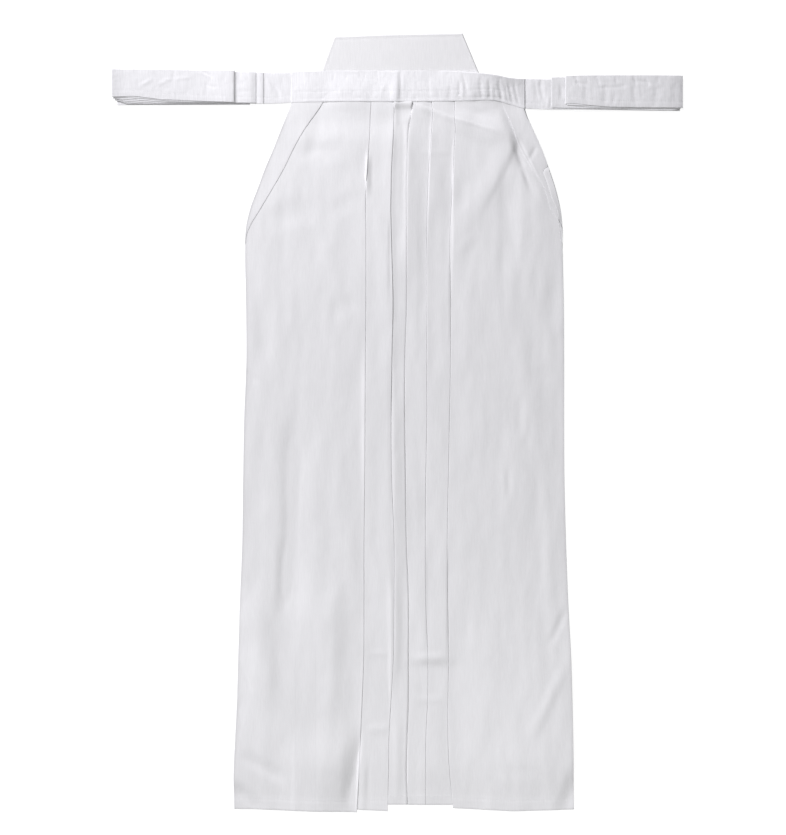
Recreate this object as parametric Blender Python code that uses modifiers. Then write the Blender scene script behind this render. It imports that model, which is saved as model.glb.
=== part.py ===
"""Hakama trousers, laid out flat with the front up.

X runs to the wearer's left, Y from the hems to the waist, Z up. The origin is the middle of the
underside. Left and right are the wearer's. Heights in the tables are measured up from the lowest hem,
and all tables are in millimetres.
"""

import math
from collections import namedtuple

import bmesh
import bpy

MM = 0.001

# Driving sizes, in metres
TOTAL_LENGTH = 1.0514
WALL = 0.0010
SEAM_GAP = 0.0003
LAYER = WALL + SEAM_GAP + 0.00003
BOARD_THICKNESS = 0.0030
BOARD_EDGE_ROUND = 0.0009
BACK_HEM = 0.0120
BACK_TOP = 0.9592
PLEAT_UNDERLAP = 0.018
CENTRE_UNDERLAP = 0.013
PANEL_RISE = 0.034
FOLD_RADIUS = LAYER / 2
FOLD_INSET = FOLD_RADIUS + WALL / 2
FOLD_CLEARANCE = 0.0025
BAND_HEM_DEPTH = 0.024
BAND_FLAT = 0.0115
BAND_EDGE_BELOW = 0.0025
PANEL_TUCK = 0.0085
CENTRE_STRIP_END = 0.026
CENTRE_BACK = 0.004
BOARD_SHOULDER = 0.016
WAIST_RISE_START = 0.925
WAIST_RISE_END = 0.955
SWELL_END_START = 0.900
SWELL_END = 0.940
FOLD_MATCH = 0.0012
BAND_LIFT = 0.0002
BACK_CORNERS_RIGHT = ((-0.1445, 0.9560), (-0.1400, 0.9572))
BACK_CORNERS_LEFT = ((0.1715, 0.9494), (0.1265, BACK_TOP))
PLEATS_RIGHT = -0.060
PLEATS_LEFT = 0.096
SWELL_FADE = 0.022
PANEL_COLUMNS = 10
RISE_COLUMNS = 4

HEM_Y = -TOTAL_LENGTH / 2

CLOTH = (0.86, 0.86, 0.87, 1.0)
CLOTH_ROUGHNESS = 0.85
BOARD_CLOTH = (0.88, 0.88, 0.90, 1.0)

# ---------------------------------------------------------------------------- measures of the garment

BodyRow = namedtuple(
    "BodyRow", "height right_side right_outer right_inner left_inner left_middle left_outer left_side"
)
# Side edges and the fold edge of each front pleat, from the hem to the seam inside the waistband.
BODY = [
    BodyRow(*row)
    for row in (
        (0, -219.5, -54.0, -12.5, 15.0, 39.0, 75.5, 238.5),
        (50, -220.5, -51.5, -11.5, 13.0, 39.0, 71.5, 238.0),
        (97, -218.5, -49.5, -11.0, 14.0, 39.0, 69.0, 237.5),
        (151, -216.0, -47.0, -8.0, 16.0, 41.5, 69.0, 236.5),
        (205, -214.5, -45.0, -5.0, 16.0, 42.0, 70.0, 235.0),
        (286, -212.0, -44.5, -4.0, 16.0, 39.0, 69.0, 231.0),
        (367, -209.0, -44.5, -4.0, 13.0, 38.5, 68.0, 228.0),
        (448, -208.0, -43.5, -7.0, 12.0, 39.0, 69.5, 226.0),
        (529, -206.5, -43.0, -8.0, 11.0, 40.5, 71.0, 225.5),
        (610, -203.5, -42.5, -7.0, 11.0, 40.5, 72.5, 225.5),
        (691, -204.0, -42.0, -5.5, 13.5, 40.0, 73.0, 225.0),
        (767, -205.0, -42.0, -7.5, 13.5, 40.0, 71.5, 223.5),
        (788, -204.0, -42.0, -8.0, 13.5, 40.5, 72.0, 223.5),
        (815, -198.0, -42.5, -8.5, 13.5, 41.0, 73.5, 220.5),
        (842, -188.0, -42.0, -8.0, 13.0, 42.0, 75.0, 214.0),
        (869, -178.0, -40.0, -7.5, 14.0, 43.0, 76.5, 205.0),
        (896, -166.5, -38.0, -6.0, 14.5, 45.5, 77.5, 195.0),
        (923, -156.0, -36.5, -4.5, 16.0, 47.0, 79.0, 183.0),
        (942, -148.5, -36.0, -4.0, 19.5, 48.5, 77.5, 175.0),
        (956, -143.0, -35.0, -4.0, 21.5, 47.0, 78.5, 171.5),
        (967, -139.5, -35.0, -4.0, 21.5, 46.5, 78.5, 169.0),
    )
]

# How far each piece of the hem lies above the lowest hem, from the side to the centre.
HEM_RISE = {
    "right_side": 4.7,
    "right_outer": 0.0,
    "right_strip": 4.0,
    "right_inner": 1.5,
    "centre_strip": 10.2,
    "left_inner": 10.0,
    "left_middle": 9.8,
    "left_strip": 9.8,
    "left_outer": 5.4,
    "left_panel": 1.4,
    "left_side": 4.0,
}

SideFoldRow = namedtuple("SideFoldRow", "height right_edge left_edge left_inset")
# Free edges of the two side folds, and how far the left side opening gapes.
SIDE_FOLDS = [
    SideFoldRow(*row)
    for row in (
        (767, -203.0, 221.0, 0.0),
        (788, -199.5, 219.5, 0.5),
        (815, -184.0, 207.5, 8.5),
        (842, -168.0, 199.3, 8.5),
        (869, -152.5, 182.5, 1.5),
        (896, -139.5, 166.5, 0.0),
        (923, -124.0, 156.5, 0.0),
        (942, -110.5, 149.0, 0.0),
        (956, -101.0, 142.5, 0.0),
        (967, -94.5, 138.5, 0.0),
    )
]

BandStation = namedtuple("BandStation", "x top bottom pleat_layers")
BAND = [
    BandStation(*row)
    for row in (
        (-143.2, 999.0, 957.6, 2.0),
        (-120.0, 999.8, 958.0, 2.0),
        (-97.0, 1000.4, 958.4, 2.0),
        (-72.0, 1000.6, 958.6, 3.0),
        (-36.0, 1000.6, 958.6, 3.0),
        (4.0, 1000.6, 958.5, 3.0),
        (44.0, 1000.6, 958.8, 3.0),
        (80.0, 999.8, 959.4, 3.0),
        (104.0, 997.6, 960.0, 3.0),
        (124.0, 995.8, 960.7, 2.6),
        (136.5, 993.9, 959.6, 2.0),
        (148.5, 991.4, 956.1, 2.0),
        (160.7, 990.2, 952.4, 2.0),
        (173.0, 989.7, 948.9, 2.0),
    )
]

# The back board: its corners and the top of its slightly bowed upper edge.
BOARD_LOW_RIGHT = (-116.8, 959.9)
BOARD_TOP_RIGHT = (-85.1, 1047.0)
BOARD_TOP_MIDDLE = (1.4, 1050.0)
BOARD_TOP_LEFT = (88.4, 1051.4)
BOARD_LOW_LEFT = (126.6, 959.9)

StrapStation = namedtuple("StrapStation", "x top bottom layer turn")
# Each tie runs from station to station. A turn is a fold back on itself, one layer up.
STRAPS = {
    "back_strap_right": (
        (-117.4, 999.3, 960.6, 0, False),
        (-147.2, 998.6, 958.9, 0, False),
        (-378.0, 995.6, 954.5, 0, True),
        (-198.5, 996.3, 955.0, 1, True),
        (-347.0, 996.3, 955.8, 2, False),
    ),
    "back_strap_left": (
        (127.2, 995.0, 960.9, 0, False),
        (148.0, 990.5, 956.5, 0, False),
        (172.8, 989.4, 951.2, 0, False),
        (382.1, 989.6, 946.6, 0, True),
        (236.3, 989.6, 947.2, 1, True),
        (361.8, 989.6, 946.6, 2, False),
    ),
    "front_strap_right": (
        (-143.6, 999.0, 957.4, 2, False),
        (-174.2, 997.7, 956.1, 2.4, False),
        (-192.0, 997.6, 955.8, 3, False),
        (-381.0, 997.4, 955.0, 3, True),
        (-180.2, 997.9, 955.3, 4, True),
        (-383.0, 999.5, 958.2, 5, True),
        (-190.4, 998.7, 956.1, 6, True),
        (-384.8, 1002.5, 964.7, 7, True),
        (-219.0, 1000.5, 957.7, 8, False),
    ),
    "front_strap_left": (
        (173.4, 989.7, 948.8, 2, False),
        (204.0, 988.9, 948.2, 2.4, False),
        (228.0, 989.2, 948.0, 3, False),
        (383.0, 990.9, 947.2, 3, True),
        (208.3, 991.7, 950.0, 4, True),
        (383.8, 992.3, 948.8, 5, True),
        (229.5, 992.5, 952.8, 6, True),
        (384.8, 994.1, 951.5, 7, True),
        (225.2, 993.6, 955.5, 8, False),
    ),
}

Swell = namedtuple("Swell", "start_x start_height end_x end_height half_width rise")
# The largest soft folds of the front panels, as ridges from one end to the other.
SWELLS = [
    Swell(*row)
    for row in (
        (-128.0, 560.0, -122.0, 130.0, 22.0, 2.2),
        (-186.0, 330.0, -170.0, 90.0, 19.0, 2.4),
        (-94.0, 900.0, -80.0, 620.0, 30.0, 1.6),
        (-84.0, 210.0, -98.0, -30.0, 24.0, 2.2),
        (150.0, 902.0, 78.0, 765.0, 17.0, 3.0),
        (158.0, 890.0, 154.0, 690.0, 14.0, 2.2),
        (196.0, 760.0, 188.0, 420.0, 20.0, 1.8),
        (214.0, 440.0, 218.0, 120.0, 20.0, 2.2),
        (112.0, 520.0, 128.0, 90.0, 26.0, 1.6),
    )
]


# ---------------------------------------------------------------------------- shape of what lies beneath

def smooth_step(value, low, high):
    """0 below low, 1 above high, and a smooth rise between them."""
    t = min(max((value - low) / (high - low), 0.0), 1.0)
    return t * t * (3 - 2 * t)


def mix(a, b, t):
    return a + (b - a) * t


def support_height(x, height):
    """Top of what carries the front: the backs, or the board near the waist."""
    over_board = smooth_step(height, WAIST_RISE_START, WAIST_RISE_END)
    right, left = BOARD_LOW_RIGHT[0] * MM, BOARD_LOW_LEFT[0] * MM
    inside = smooth_step(x, right - BOARD_SHOULDER, right)
    inside *= 1 - smooth_step(x, left, left + BOARD_SHOULDER)
    return mix(WALL, BOARD_THICKNESS, over_board * inside)


def swell_height(x, height):
    """Sum of the soft folds at a place, fading out below the waistband and at the sides."""
    total = 0.0
    for swell in SWELLS:
        x0, y0 = swell.start_x * MM, swell.start_height * MM
        dx, dy = swell.end_x * MM - x0, swell.end_height * MM - y0
        length = math.hypot(dx, dy)
        along = ((x - x0) * dx + (height - y0) * dy) / length
        across = abs((x - x0) * dy - (height - y0) * dx) / length
        if across >= swell.half_width * MM or not 0 < along < length:
            continue
        ridge = math.cos(across / (swell.half_width * MM) * math.pi / 2) ** 2
        taper = math.sin(along / length * math.pi) ** 0.6
        total += swell.rise * MM * ridge * taper
    beside_pleats = 1 - smooth_step(x, PLEATS_RIGHT - SWELL_FADE, PLEATS_RIGHT)
    beside_pleats += smooth_step(x, PLEATS_LEFT, PLEATS_LEFT + SWELL_FADE)
    return total * beside_pleats * (1 - smooth_step(height, SWELL_END_START, SWELL_END))


def layer_centre(x, height, layer):
    """Middle of the cloth in a given layer of the front, 1 being the lowest."""
    base = support_height(x, height) + SEAM_GAP + WALL / 2
    return base + (layer - 1) * LAYER + swell_height(x, height)


# ---------------------------------------------------------------------------- making solids

def new_material(name, colour, roughness):
    material = bpy.data.materials.new(name)
    material.use_nodes = True
    shader = material.node_tree.nodes["Principled BSDF"]
    shader.inputs["Base Color"].default_value = colour
    shader.inputs["Roughness"].default_value = roughness
    shader.inputs["Metallic"].default_value = 0.0
    material.diffuse_color = colour
    return material


def add_to_garment(name, data, colour=CLOTH):
    piece = bpy.data.objects.new(name, data)
    bpy.data.collections["hakama"].objects.link(piece)
    data.materials.append(new_material(name + "_cloth", colour, CLOTH_ROUGHNESS))
    return piece


def cloth_piece(name, rows, upward=True):
    """A wall of cloth through rows of points, each row from one edge of the piece to the other."""
    sheet = bmesh.new()
    grid = [[sheet.verts.new(point) for point in row] for row in rows]
    for low, high in zip(grid, grid[1:]):
        for i in range(len(low) - 1):
            corners = [low[i], low[i + 1], high[i + 1], high[i]]
            sheet.faces.new(corners if upward else corners[::-1])
    mesh = bpy.data.meshes.new(name)
    sheet.to_mesh(mesh)
    sheet.free()
    mesh.shade_smooth()
    piece = add_to_garment(name, mesh)
    wall = piece.modifiers.new("wall", "SOLIDIFY")
    wall.thickness = WALL
    wall.offset = 0.0
    wall.use_even_offset = True
    return piece


def flat_piece(name, outline, thickness, colour=CLOTH, bevel=0.0):
    """A flat outline, given as a list of XY points, standing on the floor."""
    curve = bpy.data.curves.new(name, "CURVE")
    curve.dimensions = "2D"
    curve.fill_mode = "BOTH"
    curve.extrude = thickness / 2 - bevel
    curve.bevel_depth = bevel
    curve.bevel_resolution = 1
    curve.offset = -bevel
    spline = curve.splines.new("POLY")
    spline.points.add(len(outline) - 1)
    for point, (x, y) in zip(spline.points, outline):
        point.co = (x, y, 0.0, 1.0)
    spline.use_cyclic_u = True
    piece = add_to_garment(name, curve, colour)
    piece.location.z = thickness / 2
    return piece


# ---------------------------------------------------------------------------- the fronts

def spread(start, end, count):
    """count values after start, the last of them end."""
    return [mix(start, end, (i + 1) / count) for i in range(count)]


def fold_turn(centre, outward, top_layer):
    """Points round a fold that drops one layer: (x, layer) pairs."""
    points = []
    for angle in (55, 0, -55, -90):
        bulge = outward * FOLD_RADIUS * math.cos(math.radians(angle))
        points.append((centre + bulge, top_layer - 0.5 + 0.5 * math.sin(math.radians(angle))))
    return points


def pleated_section(side, folds, underlaps, tail, inward):
    """(x, layer) from a leg's side to its hidden inner edge.

    Each fold edge is followed by its return under the cloth and the next strip. inward is +1 where
    the centre lies at higher x. The last strip ends at tail, or at its return where tail is None.
    """
    clear = FOLD_CLEARANCE * inward
    rise_end = folds[0] - (underlaps[0] + FOLD_CLEARANCE) * inward
    rise_start = rise_end - PANEL_RISE * inward
    section = [(side, 1.0)]
    section += [(x, 1.0) for x in spread(side, rise_start, PANEL_COLUMNS)]
    section += rising_strip(rise_start, rise_end, RISE_COLUMNS)
    for i, fold in enumerate(folds):
        edge = fold - FOLD_INSET * inward
        inner = fold - underlaps[i] * inward
        section.append((edge, 3.0))
        section += fold_turn(edge, inward, 3.0)
        section.append((inner, 2.0))
        last = i == len(folds) - 1
        if last and tail is None:
            return section
        section += fold_turn(inner, -inward, 2.0)
        section.append((fold + clear, 1.0))
        if last:
            section += [(x, 1.0) for x in spread(fold + clear, tail, 2)]
            return section
        next_rise_end = folds[i + 1] - (underlaps[i + 1] + FOLD_CLEARANCE) * inward
        section += rising_strip(fold + clear, next_rise_end, RISE_COLUMNS)
    return section


def rising_strip(start, end, count):
    """A strip that climbs from the lowest layer to the third."""
    return [
        (mix(start, end, (i + 1) / count), 1.0 + 2.0 * smooth_step(i + 1, 0, count))
        for i in range(count)
    ]


def hem_line(stations, x):
    """Height of the hem at x, straight between (x, rise) stations."""
    stations = sorted(stations)
    if x <= stations[0][0]:
        return stations[0][1]
    for (x0, rise0), (x1, rise1) in zip(stations, stations[1:]):
        if x <= x1:
            return mix(rise0, rise1, (x - x0) / (x1 - x0))
    return stations[-1][1]


def row_place(row_height, x):
    """Height of a row's point at x: the two uppermost rows follow the waistband's lower edge."""
    if row_height < BODY[-2].height:
        return row_height * MM
    below = BAND_EDGE_BELOW if row_height == BODY[-2].height else -PANEL_TUCK
    edge = hem_line([(station.x, station.bottom) for station in BAND], x / MM)
    return edge * MM - below


def leg_rows(section_at, hem_at):
    """Rows of points for a front leg. The lowest row follows the uneven hem."""
    rows = []
    for row in BODY:
        points = []
        for index, (x, layer) in enumerate(section_at(row)):
            place = hem_at(index, x) if row.height == 0 else row_place(row.height, x)
            points.append((x, HEM_Y + place, layer_centre(x, place, layer)))
        rows.append(points)
    return rows


def side_inset(height):
    """Opening of the left side at a row's height."""
    for row in SIDE_FOLDS:
        if row.height == height:
            return row.left_inset
    return 0.0


def right_section(row):
    return pleated_section(
        side=row.right_side * MM,
        folds=[row.right_outer * MM, row.right_inner * MM],
        underlaps=[PLEAT_UNDERLAP, PLEAT_UNDERLAP],
        tail=CENTRE_STRIP_END,
        inward=1,
    )


def left_section(row):
    return pleated_section(
        side=(row.left_side - side_inset(row.height)) * MM,
        folds=[row.left_outer * MM, row.left_middle * MM, row.left_inner * MM],
        underlaps=[PLEAT_UNDERLAP, PLEAT_UNDERLAP, CENTRE_UNDERLAP],
        tail=None,
        inward=-1,
    )


def front_right_leg():
    hem = BODY[0]
    panel = [(hem.right_side * MM, HEM_RISE["right_side"]), (hem.right_outer * MM, HEM_RISE["right_outer"])]
    strip = [
        (hem.right_outer * MM - PLEAT_UNDERLAP, HEM_RISE["right_strip"]),
        (hem.right_inner * MM, HEM_RISE["right_inner"]),
    ]
    section = right_section(hem)
    panel_end, strip_end = run_ends(section, [hem.right_outer * MM, hem.right_inner * MM], 1)

    def hem_at(index, x):
        if index <= panel_end:
            return hem_line(panel, x) * MM
        if index <= strip_end:
            return hem_line(strip, x) * MM
        return HEM_RISE["centre_strip"] * MM

    cloth_piece("front_right_leg", leg_rows(right_section, hem_at))


def front_left_leg():
    hem = BODY[0]
    panel = [
        (hem.left_outer * MM, HEM_RISE["left_outer"]),
        (mix(hem.left_outer, hem.left_side, 0.5) * MM, HEM_RISE["left_panel"]),
        (hem.left_side * MM, HEM_RISE["left_side"]),
    ]
    section = left_section(hem)
    folds = [hem.left_outer * MM, hem.left_middle * MM, hem.left_inner * MM]
    panel_end, middle_end, _ = run_ends(section, folds, -1)

    def hem_at(index, x):
        if index <= panel_end:
            return hem_line(panel, x) * MM
        if index <= middle_end:
            return HEM_RISE["left_strip"] * MM
        return HEM_RISE["left_inner"] * MM

    cloth_piece("front_left_leg", leg_rows(left_section, hem_at), upward=False)


def run_ends(section, folds, inward):
    """Index of the last point of each run before its cloth turns back under the fold."""
    ends = []
    for fold in folds:
        edge = fold - FOLD_INSET * inward
        reach = [i for i, (x, layer) in enumerate(section) if layer >= 2.0 and abs(x - edge) < FOLD_MATCH]
        ends.append(max(reach))
    return ends


# ---------------------------------------------------------------------------- other pieces

def back_outline(side_name, inner_x, top_corner):
    """Outline of a back leg: the centre, the hem, the side and the top under the waistband."""
    sides = [(getattr(row, side_name) * MM, row.height * MM) for row in BODY[1:-2]]
    hem_corner = (getattr(BODY[0], side_name) * MM, BACK_HEM)
    points = [(inner_x, BACK_HEM), hem_corner, *sides, *top_corner, (inner_x, BACK_TOP)]
    return [(x, HEM_Y + height) for x, height in points]


def back_legs():
    gap = SEAM_GAP / 2
    right = back_outline("right_side", CENTRE_BACK - gap, BACK_CORNERS_RIGHT)
    left = back_outline("left_side", CENTRE_BACK + gap, BACK_CORNERS_LEFT)
    flat_piece("back_right_leg", right, WALL)
    flat_piece("back_left_leg", left, WALL)


def side_fold(name, edge_name, side_name, inset_name, inward):
    """A side fold, lying on the front panel from its free edge to the leg's side."""
    by_height = {row.height: row for row in BODY}
    rows = []
    for row in SIDE_FOLDS:
        side = getattr(by_height[row.height], side_name)
        side += inward * getattr(row, inset_name) if inset_name else 0.0
        edge = getattr(row, edge_name)
        points = []
        for i in range(5):
            x = mix(side, edge, i / 4) * MM
            place = row_place(row.height, x)
            points.append((x, HEM_Y + place, layer_centre(x, place, 2)))
        rows.append(points)
    cloth_piece(name, rows, upward=inward > 0)


def front_band():
    """The waistband: a strip folded over the pleats, open at its lower edge."""
    rows = []
    for station in BAND:
        x, top, bottom = station.x * MM, station.top * MM, station.bottom * MM
        back = support_height(x, top) + SEAM_GAP + WALL / 2
        front = layer_centre(x, bottom, station.pleat_layers + 1) + BAND_LIFT
        edge = top - FOLD_INSET
        section = [(bottom, front), (bottom + BAND_FLAT * 0.5, front), (bottom + BAND_FLAT, front)]
        for i in range(1, 4):
            t = i / 4
            section.append((mix(bottom + BAND_FLAT, edge, t), mix(front, back + LAYER, smooth_step(t, 0, 1))))
        section.append((edge, back + LAYER))
        for angle in (55, 0, -55, -90):
            y = edge + FOLD_RADIUS * math.cos(math.radians(angle))
            section.append((y, back + FOLD_RADIUS * (1 + math.sin(math.radians(angle)))))
        section.append((top - BAND_HEM_DEPTH, back))
        rows.append([(x, HEM_Y + y, z) for y, z in section])
    cloth_piece("front_band", rows, upward=False)


def strap(name):
    """A tie: a flat strip that runs to and fro, climbing one layer at each fold."""
    stations = [StrapStation(*row) for row in STRAPS[name]]
    path = []
    for i, station in enumerate(stations):
        x, z = station.x * MM, WALL / 2 + station.layer * LAYER
        edges = (station.bottom * MM, station.top * MM)
        if not station.turn:
            path.append((x, z, edges))
            continue
        outward = math.copysign(1, x - stations[i - 1].x * MM)
        centre = x - outward * FOLD_INSET
        for angle in (-90, -35, 35, 90):
            turn = math.radians(angle)
            bulge = outward * FOLD_RADIUS * math.cos(turn)
            path.append((centre + bulge, z + FOLD_RADIUS * (1 + math.sin(turn)), edges))
    rows = []
    for x, z, (bottom, top) in path:
        rows.append([(x, HEM_Y + mix(bottom, top, t), z) for t in (0.0, 0.5, 1.0)])
    cloth_piece(name, rows)


def koshi_ita():
    """The back board, a stiff trapezium with a slightly bowed upper edge."""
    corners = [BOARD_LOW_RIGHT, BOARD_LOW_LEFT, BOARD_TOP_LEFT, BOARD_TOP_MIDDLE, BOARD_TOP_RIGHT]
    outline = [(x * MM, HEM_Y + height * MM) for x, height in corners]
    flat_piece("koshi_ita", outline, BOARD_THICKNESS, BOARD_CLOTH, BOARD_EDGE_ROUND)


def main():
    for old in list(bpy.data.objects):
        bpy.data.objects.remove(old)
    collection = bpy.data.collections.new("hakama")
    bpy.context.scene.collection.children.link(collection)
    back_legs()
    koshi_ita()
    for name in STRAPS:
        strap(name)
    front_right_leg()
    front_left_leg()
    side_fold("side_fold_right", "right_edge", "right_side", None, 1)
    side_fold("side_fold_left", "left_edge", "left_side", "left_inset", -1)
    front_band()


main()
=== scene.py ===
"""The looks of one pair of white hakama trousers, laid out flat with the front up.

X runs to the wearer's left, Y from the hems to the waist, Z up, and left and right are the wearer's.
Places on the garment are given in millimetres: x from its middle, height from its lowest hem.
"""
import math
from collections import namedtuple

import bpy
import numpy as np
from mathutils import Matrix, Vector, noise


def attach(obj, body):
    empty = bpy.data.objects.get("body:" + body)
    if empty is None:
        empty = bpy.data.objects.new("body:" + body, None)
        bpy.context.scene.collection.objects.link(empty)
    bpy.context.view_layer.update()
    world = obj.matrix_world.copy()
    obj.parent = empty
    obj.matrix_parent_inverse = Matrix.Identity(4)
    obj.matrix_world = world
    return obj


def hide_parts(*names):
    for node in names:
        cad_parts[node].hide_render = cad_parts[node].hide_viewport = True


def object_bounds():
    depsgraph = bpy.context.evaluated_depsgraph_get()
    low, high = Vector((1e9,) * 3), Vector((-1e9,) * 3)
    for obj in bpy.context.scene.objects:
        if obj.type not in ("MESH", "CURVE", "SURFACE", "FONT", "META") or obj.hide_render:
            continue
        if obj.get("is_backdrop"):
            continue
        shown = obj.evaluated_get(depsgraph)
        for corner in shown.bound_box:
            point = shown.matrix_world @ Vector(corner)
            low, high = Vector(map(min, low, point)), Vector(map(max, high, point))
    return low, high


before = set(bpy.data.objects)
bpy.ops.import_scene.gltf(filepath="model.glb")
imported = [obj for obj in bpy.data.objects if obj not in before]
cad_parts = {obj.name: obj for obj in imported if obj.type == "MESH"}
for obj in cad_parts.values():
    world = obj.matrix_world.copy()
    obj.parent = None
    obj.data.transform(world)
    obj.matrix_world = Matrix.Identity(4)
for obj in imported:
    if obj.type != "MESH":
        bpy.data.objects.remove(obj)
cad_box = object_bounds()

MM = 0.001
HEM_Y = cad_box[0].y


def measures(kind, *rows):
    """A table as one array for each of its columns."""
    return kind(*np.array(rows).T)


Crease = namedtuple("Crease", "start_x start_height end_x end_height left right rise bow", defaults=[0])


def crease_table(*rows):
    """Creases are soft ridges, or troughs where the rise is below 0. left and right are the half widths
    on each side of the way from start to end, and bow is how far the middle lies to the left."""
    return [Crease(*row) for row in rows]


# ---------------------------------------------------------------------------- sizes, in millimetres

# Cloth and the layers it lies in. A pair of heights or distances is where something starts and ends.
CLOTH = 0.34
LAYER = 0.48
WAIST_LAYER = 0.6
WAIST_BULK = (895, 950)
LOWEST_LAYER = 1.70
BACK_TOP = 1.0
FOLD_RADIUS = LAYER / 2
FOLD_INSET = FOLD_RADIUS + CLOTH / 2
FOLD_CLEARANCE = 0.2
HALF_TURN = [(math.cos(math.radians(a)), math.sin(math.radians(a))) for a in (60, 30, 0, -30, -60, -90)]

# How the fronts stand off the backs, and the waves of cloth that was worn and washed.
LOFT = 1.5
PLEAT_LOFT = 0.55
PLEAT_FADE = 48.0
SIDE_FADE = 48.0
HEM_FADE = (0, 80)
WAIST_FADE = (905, 958)
LOWEST_RISE = -0.45
LOWEST_ROUNDING = 0.02
CREASE_FADE = 0.35
Wave = namedtuple("Wave", "rise wide long seed")
LEG_WAVES = (
    Wave(0.65, 38, 110, 1.5),
    Wave(0.4, 13, 42, 7.5),
    Wave(0.4, 24, 70, 2.5),
    Wave(0.08, 6, 14, 4.5),
)
BAND_WAVES = (Wave(0.2, 12, 30, 3.5), Wave(0.12, 4, 9, 5.5))
BAND_WRINKLES = Wave(0.32, 11, 8, 6.5)
STRAP_WAVES = (Wave(0.24, 15, 34, 9.5), Wave(0.12, 5, 8, 2.5))
STRAP_WRINKLES = Wave(0.32, 12, 9, 8.5)
BOARD_WAVE = Wave(0.1, 30, 30, 4.5)
Ridge = namedtuple("Ridge", "at width rise")

# The fronts: rows and columns of their grid, the pleats and the strip between them.
GRID = 3.4
FINE_FROM = 920.0
HEM_ROWS = [0.0, 0.6, 1.6, 3.2, 6.0, 9.0, 11.5, 13.0, 14.2, 15.4, 17.0, 19.0]
SIDE_STEPS = (0.6, 1.4, 2.6, 4.0)
PANEL_COLUMNS = 34
CLIMB_COLUMNS = 16
STRIP_COLUMNS = 7
PLEAT_UNDERLAP = 18.0
CENTRE_UNDERLAP = 13.0
UNDER_EDGE = 2.5
CREVICE = 0.35
PANEL_RISE = 52.0
PANEL_TUCK = 8.5
CENTRE_STRIP_END = 26.0
CENTRE_NEST = 0.9
POCKET_RISE = 1.15
POCKET_CLIMB = (947, 957)
POCKET_END = (957.5, 961)
POCKET_DIP = 0.9
POCKET_SINK = (930, 945)

# Their hem and sides, and the opening of the left side.
HEM_DEPTH = 15.0
HEM_STITCH_ROW = 8
HEM_PLY = 0.30
HEM_PLY_END = (HEM_DEPTH - 0.5, HEM_DEPTH + 2.5)
HEM_GROOVE = Ridge(HEM_DEPTH - 1.0, 1.3, -0.22)
HEM_EDGE_SINK = 0.3
HEM_EDGE_WIDTH = 1.6
HEM_BLEND = 60.0
TOP_BLEND = 930.0
RIGHT_EDGE_RISE = 0.35
RIGHT_EDGE_WIDTH = 2.4
RIGHT_EDGE_END = (925, 950)
LEFT_EDGE_DROOP = 0.25
LEFT_EDGE_WIDTH = 3.2
OPENING_DROOP = 0.05
OPENING_WIDTH = 5.5
OPENING_FULL = 4.0
OPENING_SHOWS = (786, 806)
OPENING_HIDES = (868, 876)
OPENING_FALLS = (824, 842)
OPENING_RIM = 0.25
OPENING_FALL = 1.0
SIDE_FOLD_GAP = 0.04
SIDE_FOLD_EDGE = 2.5
SIDE_FOLD_ROWS = 72
SIDE_FOLD_SHARES = np.array(
    [0, 0.012, 0.03, 0.06] + [i / 18 for i in range(2, 17)] + [0.94, 0.97, 0.988, 1]
)

# The backs.
BACK_CLOTH = 0.85
BACK_REST = BACK_CLOTH / 2 + 0.03
BACK_LENGTH = (12.0, 959.0)
BACK_RIM = 3.0
BACK_GAP = 0.08
BACK_RIM_STEP = 1.2
BACK_UNDER = 0.4
BACK_ROWS = 240
CENTRE_BACK = 4.0
CENTRE_GAP = 0.15

# The waistband.
BAND_HEM_DEPTH = 24.0
BAND_FLAT = 11.5
BAND_CLOTH = 0.22
BAND_GAP = 0.02
BAND_ROLL = (Ridge(2.2, 1.4, 0.1), Ridge(4.6, 1.1, -0.1))
BAND_SEAM = Ridge(14.5, 1.2, -0.18)
BAND_EDGE_SINK = 0.1
BAND_EDGE_WIDTH = 1.3
BAND_END_SINK = 0.35
BAND_END_WIDTH = 26.0
BAND_LEFT_END_WIDTH = 5.0
BAND_LOWER_FADE = 5.0
BAND_UPPER_FADE = 2.0
BAND_COLUMNS = 212
BAND_SHARES = np.concatenate([[0, 0.012, 0.03, 0.055], np.linspace(0.08, 1.0, 30)])
BAND_STITCH_COLUMN = 12
BAND_SLACK = 0.3

# The ties.
STRAP_CLOTH = 0.28
STRAP_REST = 0.5
STRAP_COLUMN = 1.6
STRAP_PUFF = 0.12
STRAP_PUFF_WIDTH = 5.0
STRAP_SEAM = Ridge(8.5, 1.2, -0.14)
STRAP_FORMED = 1.4
STRAP_SHARES = np.array(
    [0, 0.015, 0.04, 0.075] + [i / 26 for i in range(3, 24)] + [0.925, 0.96, 0.985, 1]
)
STRAP_STITCH_ROW = 6
SOFTENING = 6
StrapEnd = namedtuple("StrapEnd", "start end rise press")
STRAP_END = StrapEnd(368.0, 388.0, 0.5, 0.62)

# The back board.
ONTO_BOARD = (925, 955)
BOARD_THICKNESS = 2.2
BOARD_FACE = BOARD_THICKNESS - 0.15
BOARD_SEAM_FACE = BOARD_THICKNESS - 0.32
BOARD_UNDERSIDE = 0.06
BOARD_SHOULDER = 30.0
BOARD_SEAM = 4.0
BOARD_SEAM_POINTS = 60
BOARD_ROUNDING = 1.3
BOARD_EDGE_FALL = 1.1
BOARD_RIM = (Ridge(1.8, 1.0, 0.16), Ridge(BOARD_SEAM, 1.0, -0.2))
BOARD_MARGIN = [0.0, 0.004, 0.011, 0.02, 0.032, 0.048]
BOARD_SHARES = BOARD_MARGIN + list(np.linspace(0.07, 0.93, 40)) + [1 - s for s in BOARD_MARGIN[::-1]]

# A stitch: its pitch, length, width and rise.
Stitch = namedtuple("Stitch", "pitch length width rise")
STITCH = Stitch(3.0, 2.3, 0.5, 0.2)

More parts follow.
